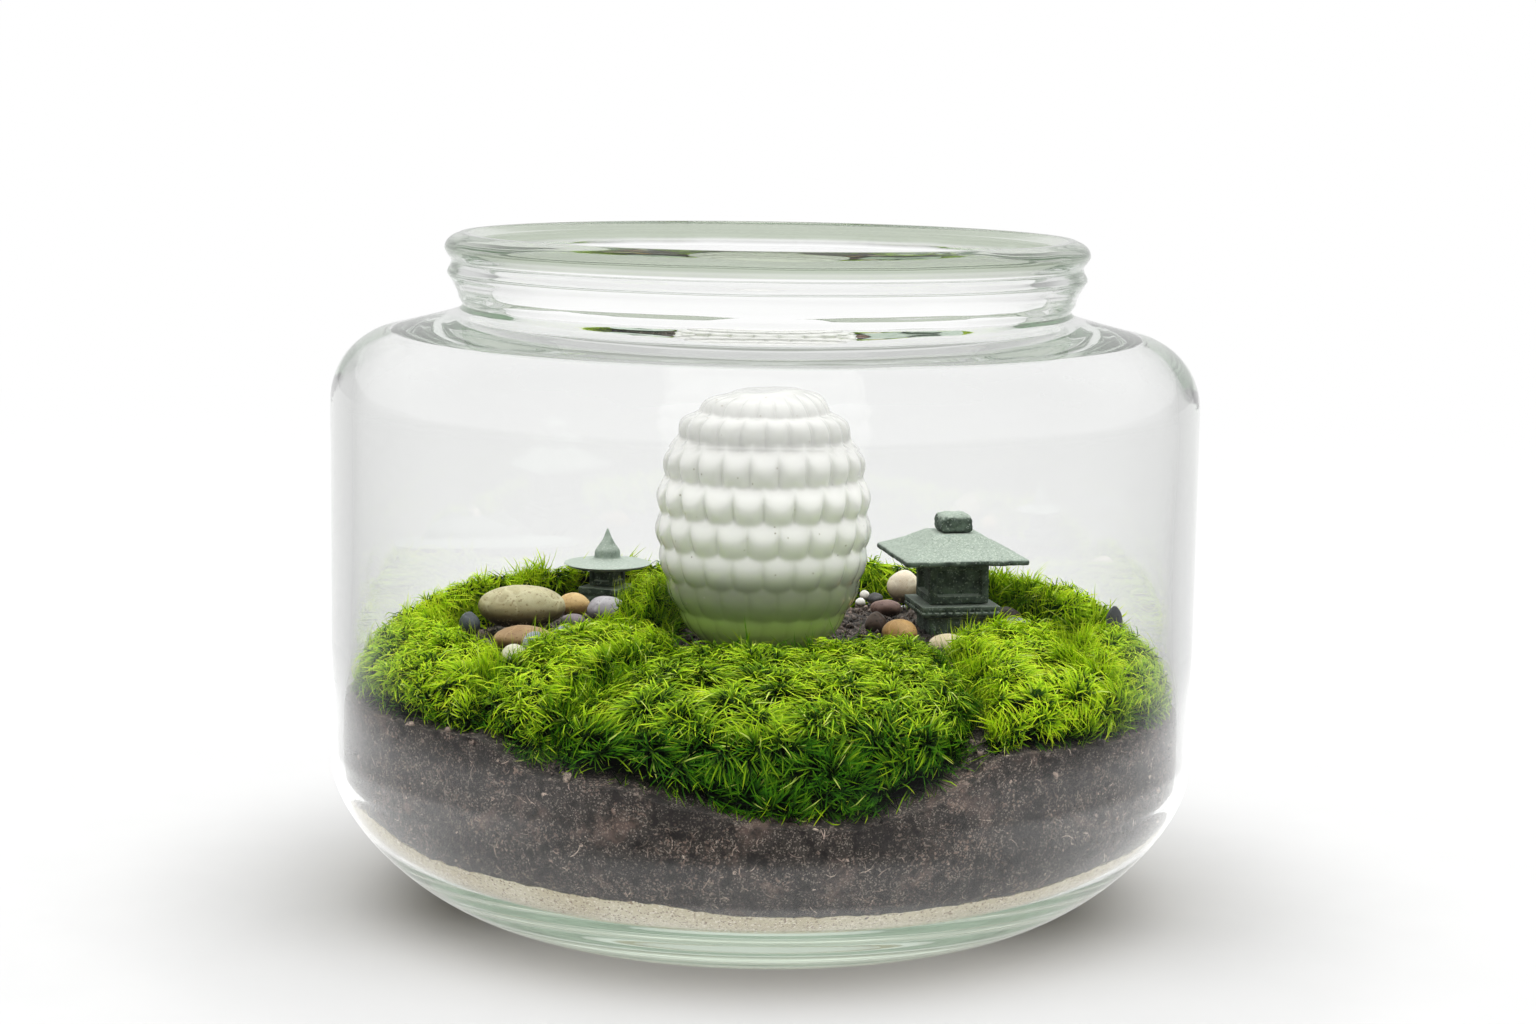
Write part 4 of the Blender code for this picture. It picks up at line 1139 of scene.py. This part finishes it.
def rooted_inside(form, roots, places, normals):
    """The roots; one that would come out of the far side of a thin cushion is replaced by a shallow one."""
    tree = tree_of(form)
    kept = roots.copy()
    for number in np.flatnonzero(near_ground(roots) > 0.5):
        root = Vector(roots[number]) * MM
        place, normal = tree.find_nearest(root)[:2]
        if (root - place).dot(normal) > -0.2 * MM:
            kept[number] = places[number] - normals[number] * 0.8
    return kept


def across_only(vectors, normals):
    """The vectors without their part along the normals."""
    return vectors - normals * (vectors * normals).sum(1)[:, None]


def leaf_curves(form, thickness, freshness_and_light, draw):
    """Root, middle and tip of each leaf, and its tint, with painted light in it. Thickness is 1 for a full
    cushion, less for a thin.
    """
    centres, sweeps, rises, tints = tufts_of(form, draw)
    places, normals = scatter_on(form, LEAF_DENSITY, draw, leafy)
    places, normals = places[:MOST_LEAVES], normals[:MOST_LEAVES]
    nearest = np.array([np.argmin(((centres - place) ** 2).sum(1)) for place in places])
    out = across_only(places - centres[nearest], normals)
    distance = np.linalg.norm(out, axis=1)[:, None]
    count = len(places)
    wander = across_only(draw.normal(size=(count, 3)), normals)
    lean = unit(out / 2.6 + sweeps[nearest] * draw.uniform(0.3, 1.3, (count, 1)) + wander * 0.55)
    stray = (draw.random(count) < STRAY_SHARE)[:, None]
    rise = (rises[nearest] + draw.uniform(-1.2, 0.5, count))[:, None] - 0.10 * distance ** 2 + stray * 0.9
    rise = np.where(rise < 0, rise * thickness, rise)
    sideways = (1 - np.abs(normals[:, 2:])) * (from_axis(places) < OPEN_SIDE)[:, None]
    rise = rise + SIDE_RISE * sideways
    reach = draw.uniform(*LEAF_REACH, (count, 1)) + stray * draw.uniform(*STRAY_REACH, (count, 1))
    reach = reach * (1 + SIDE_REACH * sideways)
    tips = places + normals * rise + lean * reach
    depth = draw.uniform(*ROOT_DEPTH, (count, 1)) * (1 - 0.4 * stray)
    roots = rooted_inside(form, places - out * 0.55 - normals * depth - lean * reach * 0.3, places, normals)
    middles = (places - out * 0.15 + normals * (rise + draw.uniform(-0.9, 1.5, (count, 1)) + stray * 0.7)
               - lean * draw.uniform(-0.2, 0.9, (count, 1)) + wander * draw.uniform(-1.2, 1.2, (count, 1)))
    # painted shade for leaves low over the soil by the glass
    low_shade = np.clip(1 - near_ground(places) / LOW_SHADE_ZONE[1], 0, 1) * (from_axis(places) > LOW_SHADE_ZONE[0])
    # The tint carries painted light: leaves on upward faces are made lighter, those facing sideways darker.
    tint = (tints[nearest] * 0.30 + draw.random(count) * 0.40 + stray[:, 0] * 0.18 + freshness_and_light
            + 0.54 * (normals[:, 2] - 0.62) - 0.10 * low_shade)
    tint = np.where(draw.random(count) < DRY_SHARE, 1.0, np.clip(tint, 0.6 * freshness_and_light, 0.95))
    return roots, middles, tips, normals, tint


def low_by_glass(places):
    out, low, high = STRAND_ZONE
    return (near_ground(places) < high) * (near_ground(places) > low) * (from_axis(places) > out)


def stray_strands(form, draw):
    """Long thin strands that hang over the dark soil below a cushion, along the glass."""
    places, normals = scatter_on(form, STRANDS, draw, low_by_glass)
    count = len(places)
    along_glass = unit(np.stack([-places[:, 1], places[:, 0], np.zeros(count)], 1))
    along_glass *= draw.uniform(-1, 1, (count, 1))
    down = np.array([0, 0, -1.0])
    length = draw.uniform(*STRAND_LENGTH, (count, 1))
    roots = places - normals * 3.0
    middles = (places + normals * 0.8 + along_glass * length * 0.5
               + down * length * draw.uniform(-0.3, 0.5, (count, 1)))
    tips = (places + normals * 0.5 + along_glass * length
            + down * length * draw.uniform(0.1, 0.8, (count, 1)))
    return roots, middles, tips, normals, draw.uniform(0.1, 0.8, count)


def keep_clear(points):
    """Press leaf points back inside the glass and out of the ornament."""
    reach = from_axis(points)
    points[:, :2] *= np.minimum(1.0, GLASS_REACH / reach)[:, None]
    egg = ORNAMENT_CLEAR + np.array([ornament_radius(z) if ORNAMENT_FOOT < z < ORNAMENT_TOP else 0.0
                                     for z in points[:, 2]])
    push = np.where(reach < ORNAMENT_NEAR, egg / np.maximum(reach, 1.0), 1.0)
    points[:, :2] *= np.maximum(1.0, push)[:, None]
    return points


print("leaves a square millimetre:", LEAF_DENSITY)

# %% Finish of the moss
# Two numbers on each leaf drive the finish. "along" runs from root to tip and takes the colour from nearly
# black to bright yellow-green: the dark root ends are partly the old leaf bases and partly painted shade deep
# in the cushion. The other is the leaf's tint: its own tone, so that some leaves are pale and some deep, with
# painted light and shade in it, by the way the leaf faces, how low it stands and which cushion it is in.
SHINES_THROUGH = 0.35     # share of the light that passes through a leaf

moss = Finish("bright cushion moss", Roughness=0.55, Specular_IOR_Level=0.12)
along, tint = moss.attribute("along"), moss.attribute("tint")
# deep green for deep leaves and painted shade; its root end is nearly black, partly as shade
deep_and_shaded = moss.ramp(along, (0.0, colour(4, 9, 3)), (0.45, colour(13, 38, 4)), (0.72, colour(48, 106, 6)),
                 (1.0, colour(98, 166, 12)))
# bright yellow-green for fresh leaves and painted light
fresh_and_lit = moss.ramp(along, (0.0, colour(8, 16, 3)), (0.40, colour(42, 82, 4)), (0.70, colour(176, 220, 9)),
                  (1.0, colour(240, 250, 62)))
drift = moss.noise(38, detail=2)
leaf_tone = moss.blend((tint * 0.9 + drift * 0.3 - 0.1).step(0.20, 0.90), deep_and_shaded, fresh_and_lit)
dry = moss.blend(tint.step(0.97, 0.999) * 0.6 * along.step(0.3, 0.8), leaf_tone, colour(222, 230, 140))
moss.set("Base Color", dry)
glow = moss.add("ShaderNodeBsdfTranslucent", None, {"Color": dry}, "BSDF")
both = moss.add("ShaderNodeMixShader", None, {0: SHINES_THROUGH, 1: Wire(moss, moss.shader.outputs["BSDF"]),
                                              2: glow}, "Shader")
moss.feed(moss.tree.nodes["Material Output"].inputs["Surface"], both)
print("moss finish has", len(moss.tree.nodes), "nodes")

# %% Grow all cushions
# Painted light and shade on the body: black where it lies deep, green close below the tips and on its upper
# side.
THIN_BODY = 0.38          # where the body lies close below the tips it is green, not black
TOP_BODY = 0.24           # its upper side has some green too
BODY_LOWER = 0.20         # share of its height by which the body stands lower than its form
SET_BACK, SET_BACK_BY = -25.0, 0.72       # the cushion beside the ornament is narrower left of this

leaves_in_all = 0
for number, (node, (freshness_and_light, _)) in enumerate(MOSS_CUSHIONS.items()):
    draw = np.random.default_rng(100 + number)
    form = cushion_form(node)
    body = coordinates(form.data)
    if node == "moss_beside_ornament":      # its left edge stands back, so that the stones beside it show
        x = body[:, 0]
        body[:, 0] = np.where(x < SET_BACK, SET_BACK + SET_BACK_BY * (x - SET_BACK), x)
        move_points(form.data, body)
    lumps = np.array([rough(*place, 3.4, number) + 0.6 * rough(*place, 1.7, number) for place in body])
    sunk = depth_below(form, BODY_DEPTH + 1.0 * lumps)
    facing = normals_of(form.data)
    body -= facing * sunk[:, None]
    body[:, 2] -= BODY_LOWER * np.maximum(0.0, near_ground(body))
    thickness = min(1.0, float(np.percentile(sunk, 25)) / (0.75 * BODY_DEPTH))
    sets = [leaf_curves(form, thickness, freshness_and_light, draw), stray_strands(form, draw)]
    roots, middles, tips, normals, tint = (np.concatenate(parts) for parts in zip(*sets))
    widths = draw.uniform(0.28, 0.50, len(roots))
    widths[-len(sets[1][0]):] *= 0.7
    sides = unit(np.cross(tips - roots, normals) + draw.normal(size=roots.shape) * 2.2)
    points, triangles = grow_leaves(roots, middles, tips, widths, sides)
    along = np.tile(leaf_points[:, 0], len(roots))
    tint = np.repeat(tint, len(leaf_points))
    all_points = keep_clear(np.concatenate([points, body]))
    all_triangles = np.concatenate([triangles, corners_of(form.data) + len(points)])
    body_tone_and_light = np.where(sunk < 0.75 * BODY_DEPTH, THIN_BODY, TOP_BODY * np.clip(facing[:, 2], 0, 1))
    cushion = mesh_piece(node + "_leaves", all_points, all_triangles,
                         along=np.concatenate([along, body_tone_and_light]),
                         tint=np.concatenate([tint, np.full(len(body), 0.2)]))
    bpy.data.objects.remove(form)
    hand_over(cushion, moss.material, "moss", node)
    leaves_in_all += len(roots)
print("leaves in all:", leaves_in_all)

# %% [markdown]
# ## The ornament
#
# Rows of rounded scales overlap like roof tiles, and each row is set off by half a scale from the next.
# Cutting each scale by hand would take hours and still not be even. The egg is spun finely instead, and each
# point is moved in or out by a formula: it rises at a scale's scalloped lower edge and falls away again under
# the row above. Towards the foot and the top the scales fade, as they do on the real piece, where the glaze
# ran thick and filled the grooves.

# %% Spin the egg and raise the scales
SCALES = 21               # in each row
SCALE_ROWS = 9
SCALE_RELIEF = 2.7        # from groove to crest
CREST = 0.46              # share of a scale's height at which it stands out most
ROUNDNESS = 1.8           # how a scale falls away above and below its crest
SCALE_FROM, SCALE_LENGTH = 0.28, 1.35     # where a scale begins under its row, and how many rows it spans
SCALE_END = 1.1           # a scale is cut off past this share of its length
SCALE_SIDES = 0.45        # how much less a scale stands out at its sides
SCALE_HANG = ([1, 2, 3, 5, 6, 7, 9],      # row, and how far its scallops hang down
              [0.04, 0.08, 0.24, 0.46, 0.36, 0.24, 0.12])
SCALE_STRENGTH = ([0, 1, 2, 3, 4, 6, 7, 8, 9], [0.10, 0.35, 0.45, 0.60, 0.9, 1.0, 0.9, 0.65, 0.35])
STRENGTH_SHIFT = 0.35     # a scale's strength is read this part of a row lower down
FILLED = 0.78             # where the scales are weak, the glaze fills the grooves to this share of the relief
LEVEL_RELIEF = 0.62       # share of the relief that lies on the plain egg
OUTLINE_POINTS = 150

span = ORNAMENT_TOP - ORNAMENT_FOOT
levels = np.array([ORNAMENT_FOOT + span * step / 600 for step in range(601)])
girths = np.array([ornament_radius(z) for z in levels])
walked = np.concatenate([[0.0], np.cumsum(np.hypot(np.diff(levels), np.diff(girths)))])
rows_up = walked / walked[-1] * SCALE_ROWS          # position along the outline, counted in rows
stations = np.linspace(0, SCALE_ROWS, OUTLINE_POINTS + 1)
outline = [(float(np.interp(w, rows_up, girths)), float(np.interp(w, rows_up, levels))) for w in stations]
under = [(radius, ORNAMENT_FOOT) for radius in (0.0, 10.0)]
flat_top = [(radius, ORNAMENT_TOP) for radius in (4.5, 2.0, 0.0)]
ornament = spin_outline("ornament", under + outline + flat_top, steps=SCALES * 20)


def ease(value):
    value = np.clip(value, 0, 1)
    return value * value * (3 - 2 * value)


places = coordinates(ornament.data)
radius = from_axis(places)
angle = np.arctan2(places[:, 0], -places[:, 1])
w = np.interp(places[:, 2], levels, rows_up)
raised = np.zeros(len(places))
for row in range(1, SCALE_ROWS + 1):
    across = np.mod(SCALES * angle / math.pi - row, 2.0)
    across = np.minimum(across, 2.0 - across)
    rounded = np.sqrt(1 - (0.98 * across) ** 2)
    hang = np.interp(row, *SCALE_HANG)
    up = (w - row + SCALE_FROM + hang * (rounded - 0.4)) / SCALE_LENGTH
    tile = np.clip(1 - np.abs(up / CREST - 1) ** ROUNDNESS, 0, 1)
    tile = tile * (1 - SCALE_SIDES + SCALE_SIDES * rounded)
    raised = np.maximum(raised, np.where(up < SCALE_END, tile, 0))
strength = np.interp(w - STRENGTH_SHIFT, *SCALE_STRENGTH)
raised = raised * strength + FILLED * (1 - strength)
below_top = ease((ORNAMENT_TOP - 0.2 - places[:, 2]) / 1.5 + (radius > 5.5) * 0.4)
relief = SCALE_RELIEF * (raised - LEVEL_RELIEF) * below_top
slope = np.interp(w, rows_up[1:], np.diff(girths) / np.diff(levels))
outward = np.stack([np.sin(angle), -np.cos(angle), -slope], 1) / np.sqrt(1 + slope ** 2)[:, None]
places += outward * (relief * ease((radius - 6) / 9))[:, None]
places[:, 2] = np.clip(places[:, 2], ORNAMENT_FOOT, ORNAMENT_TOP)
move_points(ornament.data, places)
apply_modifier(ornament, "SMOOTH", factor=0.5, iterations=2)
ornament.data.shade_smooth()

# %% Finish of the ornament
# A white body under a clear, thick glaze: hardly any colour of its own, a sharp highlight and a few pinholes.
# Painted shade makes the crown greyer, where the lamp overhead shines on it most, and the lower egg darker,
# and painted green light, as the moss throws it, turns the dull foot green where it stands in the moss.
FOOT_SHADE_TOP = 86.0           # level where the painted shade and green light of the foot begin
CROWN_BAND = 96, 110

glaze = Finish("white glaze", Roughness=0.22, Coat_Weight=0.8, Coat_Roughness=0.10)
pooled = glaze.noise(60, detail=3)
white = glaze.blend(pooled, colour(240, 240, 236), colour(230, 230, 225))
# painted shade: the crown is greyer where the lamp overhead shines on it most
white = glaze.blend(glaze.height().step(*CROWN_BAND), white, colour(208, 208, 204))
# painted shade darkens the lower egg, and painted green light, as the moss throws it, lies on the foot
foot = glaze.height().step(FOOT_SHADE_TOP, ORNAMENT_FOOT)
white = glaze.blend(foot.step(0.0, 0.36) * 0.9, white, colour(130, 136, 112))
white = glaze.blend(foot.step(0.35, 0.85), white, colour(186, 218, 112))
pinholes = glaze.cells(330)
dotted = glaze.blend(pinholes.step(0.10, 0.05), white, colour(176, 172, 160))
glaze.set("Base Color", dotted)
glaze.set("Roughness", glaze.noise(240, detail=2) * 0.10 + 0.14)
glaze.bump(glaze.noise(300, detail=2), 0.03, 0.5)
hand_over(ornament, glaze.material, "white_glaze", "ceramic_ornament")

# %% [markdown]
# ## The two lanterns
#
# Both lanterns are small cast-stone garden lanterns: tiers stacked dry. All but the small one's round roof
# are blocks, so each starts as a cube that is scaled to its tier, and is then inset, extruded and bevelled.
# Cast stone never has a sharp edge or a flat face, so each tier is cut finer at the end, and its surface is
# moved by a little noise.

# %% Blocks of a lantern
LARGE = (46.6, 32.5), math.radians(10.7)  # place and turn of each lantern
SMALL = (-40.3, 64.0), math.radians(-24.0)
WINDOW_EDGE = 0.15        # how far a window's side slopes in


def block(name, side, low, high):
    """A square block about the Z axis."""
    deselect_all()
    bpy.ops.mesh.primitive_cube_add(size=MM, location=(0, 0, (low + high) / 2 * MM))
    piece = start_piece(name)
    piece.scale = (side, side, high - low)
    bpy.ops.object.transform_apply(location=True, scale=True)
    return piece


def tiered(name, side, low, high, *tiers):
    """A block whose top face is extruded up to one level after another, and scaled to a side at each."""
    piece = block(name, side, low, high)
    bpy.ops.object.mode_set(mode="EDIT")
    pick(piece, "faces", lambda face: face.normal.z > 0.9)
    for next_side, level in tiers:
        bpy.ops.mesh.extrude_region_move(TRANSFORM_OT_translate={"value": (0, 0, (level - high) * MM)})
        bpy.ops.transform.resize(value=(next_side / side, next_side / side, 1))
        side, high = next_side, level
    bpy.ops.object.mode_set(mode="OBJECT")
    return piece


def windowed(name, side, low, high, post, depth):
    """A block with a window in each side: inset once for the posts, and again to sink the window."""
    piece = block(name, side, low, high)
    bpy.ops.object.mode_set(mode="EDIT")
    pick(piece, "faces", lambda face: abs(face.normal.z) < 0.3)
    bpy.ops.mesh.inset(thickness=post * MM, use_individual=True)
    bpy.ops.mesh.inset(thickness=WINDOW_EDGE * MM, depth=-depth * MM, use_individual=True)
    bpy.ops.object.mode_set(mode="OBJECT")
    return piece


def set_down(piece, place, turn):
    """Turn a piece about the Z axis, move it to its place, and put that into its mesh."""
    piece.rotation_euler = (0, 0, turn)
    piece.location = (place[0] * MM, place[1] * MM, 0)
    work_on(piece)
    bpy.ops.object.transform_apply(location=True, rotation=True, scale=True)
    return piece


def weather(piece, wear, fineness, depth, seed, lantern, node):
    """Round the edges, cut the faces finer and roughen them, as cast stone is, and set the tier down."""
    apply_modifier(piece, "BEVEL", width=wear * MM, segments=2, limit_method="ANGLE")
    apply_modifier(piece, "TRIANGULATE")
    apply_modifier(piece, "REMESH", mode="VOXEL", voxel_size=fineness * MM)
    spots = coordinates(piece.data)
    moved = [depth * (rough(*spot, 2.2, seed) + 0.7 * rough(*spot, 0.8, seed)) for spot in spots]
    move_points(piece.data, spots + normals_of(piece.data) * np.array(moved)[:, None])
    piece.data.shade_smooth()
    hand_over(set_down(piece, *lantern), green_stone, "lantern_stone", node)


print("lanterns stand at", LARGE[0], "and", SMALL[0])

# %% Finish of the lanterns
# A grey-green cast stone with pale and dark grains. Upward faces are paler, partly by a frosty bloom of lime
# and dust and partly by painted light from above, so the roofs look pale and the walls dark.
def cast_stone(name, dark, light, bloom_dark, bloom_light):
    stone = Finish(name, Roughness=0.82)
    grain = stone.speck(3000, "Red")
    cloud = stone.noise(260, detail=5, roughness=0.65)
    tone = stone.blend(cloud.step(0.35, 0.65), dark, light)
    tone = stone.blend(grain.step(0.88, 0.95) * 0.6, tone, bloom_dark)
    up = stone.part_along(stone.add("ShaderNodeNewGeometry", output="Normal"), "Z")
    # partly bloom, partly painted light: faces that look up are paler
    bloom_and_light = (up + cloud * 0.5 - 0.25).step(0.25, 0.75)
    frosted_and_lit = stone.blend(bloom_and_light, tone, stone.blend(grain.step(0.75, 0.9), bloom_dark, bloom_light))
    stone.set("Base Color", stone.blend(grain.step(0.10, 0.03) * 0.45, frosted_and_lit, light))
    stone.bump(stone.noise(1100, detail=3), 0.12, 0.7)
    print(name, "has", len(stone.tree.nodes), "nodes")
    return stone.material


green_stone = cast_stone("green cast stone", colour(46, 58, 50), colour(92, 108, 94),
                         colour(150, 162, 150), colour(172, 182, 170))
chalky_stone = cast_stone("chalky cast stone", colour(112, 126, 114), colour(146, 160, 148),
                          colour(156, 167, 156), colour(176, 185, 175))

# %% The large lantern
# The numbers after each tier are the width of its worn edges, the fineness it is cut to, the depth of its
# roughness and the seed of that. The platform's two steps are joined by a row of small bridges on each side.
BRIDGES, BRIDGE_SPACING = range(-5, 6), 1.75
BRIDGE_PLACE = -9.4, 63.9
BRIDGE_SIZE = (0.55, 0.9, 0.9)

weather(block("large_lantern_foot", 14.6, 56.4, 62.1), 0.4, 0.32, 0.10, 1.0, LARGE, "lantern_foot")
platform = tiered("large_lantern_platform", 18.8, 62.4, 62.9, (19.8, 63.05), (19.8, 63.6), (18.4, 63.65),
                  (18.4, 64.15), (19.8, 64.2), (19.8, 65.2))
bridges = []
for wall in range(4):
    for number in BRIDGES:
        deselect_all()
        bpy.ops.mesh.primitive_cube_add(size=MM, location=(number * BRIDGE_SPACING * MM, BRIDGE_PLACE[0] * MM,
                                                           BRIDGE_PLACE[1] * MM))
        bridge = start_piece("bridge")
        bridge.scale = BRIDGE_SIZE
        bpy.ops.object.transform_apply(location=True, scale=True)
        bridge.rotation_euler = (0, 0, wall * math.pi / 2)
        bpy.ops.object.transform_apply(rotation=True)
        bridges.append(bridge)
platform = join([platform, *bridges], "large_lantern_platform")
weather(platform, 0.12, 0.2, 0.06, 2.0, LARGE, "lantern_platform")
weather(windowed("large_lantern_light_box", 14.9, 65.5, 75.6, 1.9, 1.5), 0.15, 0.22, 0.07, 3.0, LARGE,
        "lantern_light_box")
weather(tiered("large_lantern_roof", 31.2, 75.9, 77.2, (25.0, 78.55), (19.5, 79.9), (11.6, 82.3)),
        0.35, 0.34, 0.10, 4.0, LARGE, "lantern_roof")
weather(tiered("large_lantern_finial", 7.9, 82.6, 85.6, (6.9, 86.3), (5.0, 87.0)),
        0.55, 0.22, 0.22, 5.0, LARGE, "lantern_finial")

# %% The small lantern
SMALL_ROOF = [(9.6, 67.3), (11.0, 67.9), (10.9, 68.3), (6.5, 68.7), (3.6, 69.4), (3.1, 71.4), (1.9, 73.2),
              (0.9, 75.0), (0.3, 76.6), (0.0, 77.0)]

weather(tiered("small_lantern_plate", 10.0, 57.8, 60.4, (11.2, 60.7), (11.2, 62.3)), 0.3, 0.25, 0.10, 6.0,
        SMALL, "small_lantern_base")
weather(windowed("small_lantern_box", 6.9, 62.6, 67.0, 1.2, 0.6), 0.12, 0.16, 0.06, 7.0, SMALL,
        "small_lantern_light_box")
spire = spin_outline("small_lantern_spire", [(0.0, 67.3), (5.0, 67.3), *smooth_through(SMALL_ROOF, 4)],
                     steps=72)
spots = coordinates(spire.data)
moved = [0.10 * rough(*spot, 2.0, 8.0) * min(1.0, math.hypot(*spot[:2])) for spot in spots]
move_points(spire.data, spots + normals_of(spire.data) * np.array(moved)[:, None])
hand_over(set_down(spire, *SMALL), chalky_stone, "lantern_stone", "small_lantern_roof")

# %% [markdown]
# ## The pebbles
#
# Each pebble is a river stone, worn smooth and a little uneven. It starts as a ball of many triangles, is
# stretched to its own length, depth and height, and its points are moved by slow noise, then by weaker, finer
# noise. They share one recipe for the finish but not one finish: each has its own two colours, its own specks
# and faint veins, a lower part darkened partly by damp and partly as painted shade, and a damp, dusty foot
# where it sits in the soil.

# %% Places, sizes and colours of the pebbles
# Each has its middle, its length, depth and height, its turn in degrees, and a light and a dark colour.
PEBBLES = {
    "beige": ((-58.8, 24.0, 63.4), (21.6, 12.0, 10.4), 2, (186, 180, 142), (126, 106, 62)),
    "tan": ((-56.0, 0.4, 59.8), (14.4, 9.0, 6.4), 0, (164, 134, 92), (120, 86, 50)),
    "charcoal": ((-70.8, 16.2, 60.0), (5.2, 5.2, 6.0), 20, (78, 84, 88), (44, 46, 48)),
    "small_grey": ((-52.6, -9.8, 60.4), (5.6, 4.4, 6.2), 0, (158, 164, 172), (108, 112, 120)),
    "small_white": ((-56.6, -15.6, 58.8), (6.4, 5.0, 5.6), 10, (212, 208, 184), (168, 158, 128)),
    "honey": ((-47.2, 39.2, 61.4), (8.4, 7.0, 6.0), 0, (206, 176, 118), (160, 122, 70)),
    "lilac": ((-38.4, 32.6, 61.4), (10.0, 7.6, 6.8), -8, (172, 168, 172), (120, 114, 118)),
    "purple": ((-46.6, 29.6, 59.0), (6.4, 5.0, 3.6), -6, (134, 122, 128), (88, 76, 82)),
    "blue_grey": ((-47.4, 13.6, 59.2), (5.6, 4.2, 3.6), 12, (150, 158, 168), (98, 104, 114)),
    "pink_white": ((36.4, 70.4, 62.2), (8.6, 6.6, 8.4), 0, (232, 220, 198), (206, 184, 150)),
    "small_dark": ((29.2, 66.4, 59.4), (3.8, 3.4, 3.6), 0, (92, 92, 92), (50, 50, 50)),
    "red_brown": ((31.2, 53.2, 59.2), (7.6, 6.0, 4.6), 8, (140, 112, 102), (86, 62, 54)),
    "umber": ((27.9, 28.0, 59.6), (5.2, 5.2, 6.2), 0, (96, 80, 70), (50, 40, 34)),
    "orange": ((33.0, 15.2, 59.8), (8.6, 7.2, 7.0), -10, (202, 162, 102), (150, 106, 56)),
    "cream": ((44.4, 8.4, 58.4), (9.2, 6.6, 5.4), 0, (222, 208, 176), (190, 166, 124)),
    "grey": ((62.6, 29.6, 59.0), (9.4, 7.2, 4.8), 0, (162, 164, 174), (112, 114, 122)),
    "dark_brown": ((61.2, 39.8, 59.2), (8.4, 7.2, 6.4), 0, (80, 68, 66), (42, 35, 34)),
    "white_left": ((26.6, 72.0, 59.4), (2.6, 2.4, 2.6), 0, (238, 234, 226), (214, 208, 194)),
    "white_right": ((25.2, 61.6, 59.2), (2.6, 2.4, 2.6), 0, (238, 234, 226), (214, 208, 194)),
    "slate": ((86.0, 18.2, 61.0), (5.0, 5.0, 12.0), 0, (66, 68, 72), (36, 37, 40)),
}
SLOTS = {
    "stone_pale": ["beige", "small_white", "cream", "pink_white"],
    "stone_ochre": ["tan", "honey", "orange"],
    "stone_grey": ["small_grey", "lilac", "blue_grey", "grey", "purple"],
    "stone_dark": ["charcoal", "small_dark", "umber", "dark_brown", "slate", "red_brown"],
    "stone_white": ["white_left", "white_right"],
}
UNEVENNESS = {"stone_dark": 0.16}
EVEN = 0.07               # unevenness of all other pebbles
SWELL = 1.1               # fineness of the slow noise
FINE_SWELL, FINE_DEPTH = 4.0, 0.012
NOISE_RANGE = 50.0
LARGE_PEBBLE = 12         # from this length on, a pebble gets more triangles

print("pebbles:", len(PEBBLES))

# %% Shape of one pebble
def pebble_shape(name, uneven):
    """A ball, swollen unevenly, stretched to its size and set down in its place."""
    middle, size, turn, _, _ = PEBBLES[name]
    draw = Random("stone_" + name)
    offset = Vector([draw.uniform(-NOISE_RANGE, NOISE_RANGE) for _ in range(3)])
    deselect_all()
    bpy.ops.mesh.primitive_ico_sphere_add(subdivisions=6 if size[0] > LARGE_PEBBLE else 5, radius=MM)
    pebble = start_piece(name + "_pebble")
    spots = coordinates(pebble.data)
    for index, spot in enumerate(spots):
        swell = (1.0 + uneven * noise.noise(Vector(spot) * SWELL + offset)
                 + FINE_DEPTH * noise.noise(Vector(spot) * FINE_SWELL + offset))
        spots[index] = spot * swell * np.array(size) / 2
    move_points(pebble.data, spots)
    pebble.data.shade_smooth()
    pebble.location = Vector(middle) * MM
    pebble.rotation_euler = (0, 0, math.radians(turn))
    work_on(pebble)
    bpy.ops.object.transform_apply(location=True, rotation=True)
    return pebble


# %% Finish of one pebble
def pebble_finish(name):
    """Two tones in soft patches, fine specks, faint veins, a lower part darker by damp and painted shade, and
    a damp, dusty foot.
    """
    (_, _, z), size, _, light, dark = PEBBLES[name]
    between = [0.65 * a + 0.35 * b for a, b in zip(light, dark)]
    finish = Finish(name.replace("_", " ") + " pebble", Roughness=0.5)
    patches = finish.noise(150, detail=5, roughness=0.6)
    tone = finish.blend(patches.step(0.38, 0.68), colour(*light), colour(*between))
    vein = abs(finish.noise(90, detail=2) - 0.5).step(0.018, 0.004)
    tone = finish.blend(vein * 0.35, tone, colour(*(min(255, part + 26) for part in light)))
    specks = finish.speck(2400, "Green")
    tone = finish.blend(specks.step(0.88, 0.96) * 0.6, tone, colour(*dark))
    edge = z - 0.08 * size[2]             # level of the soil's edge round it
    over_edge = (finish.height() + (patches - 0.5) * 4.0 - edge) * (1 / size[2])      # share of its height
    # partly damp, partly painted shade: the pebble's lower part above the soil is made darker
    tone = finish.blend(over_edge.step(0.22, -0.06) * 0.85, tone, colour(*(0.78 * part for part in dark)))
    damp = finish.blend(specks.step(0.80, 0.92), colour(*(0.42 * part for part in dark)),
                        colour(150, 132, 108))
    finish.set("Base Color", finish.blend(over_edge.step(-0.02, -0.26), tone, damp))
    finish.set("Roughness", patches * 0.25 + 0.38)
    finish.bump(finish.noise(700, detail=4, roughness=0.6), 0.08, 0.6)
    return finish.material


for slot, names in SLOTS.items():
    for name in names:
        hand_over(pebble_shape(name, UNEVENNESS.get(slot, EVEN)), pebble_finish(name), slot, "stone_" + name)
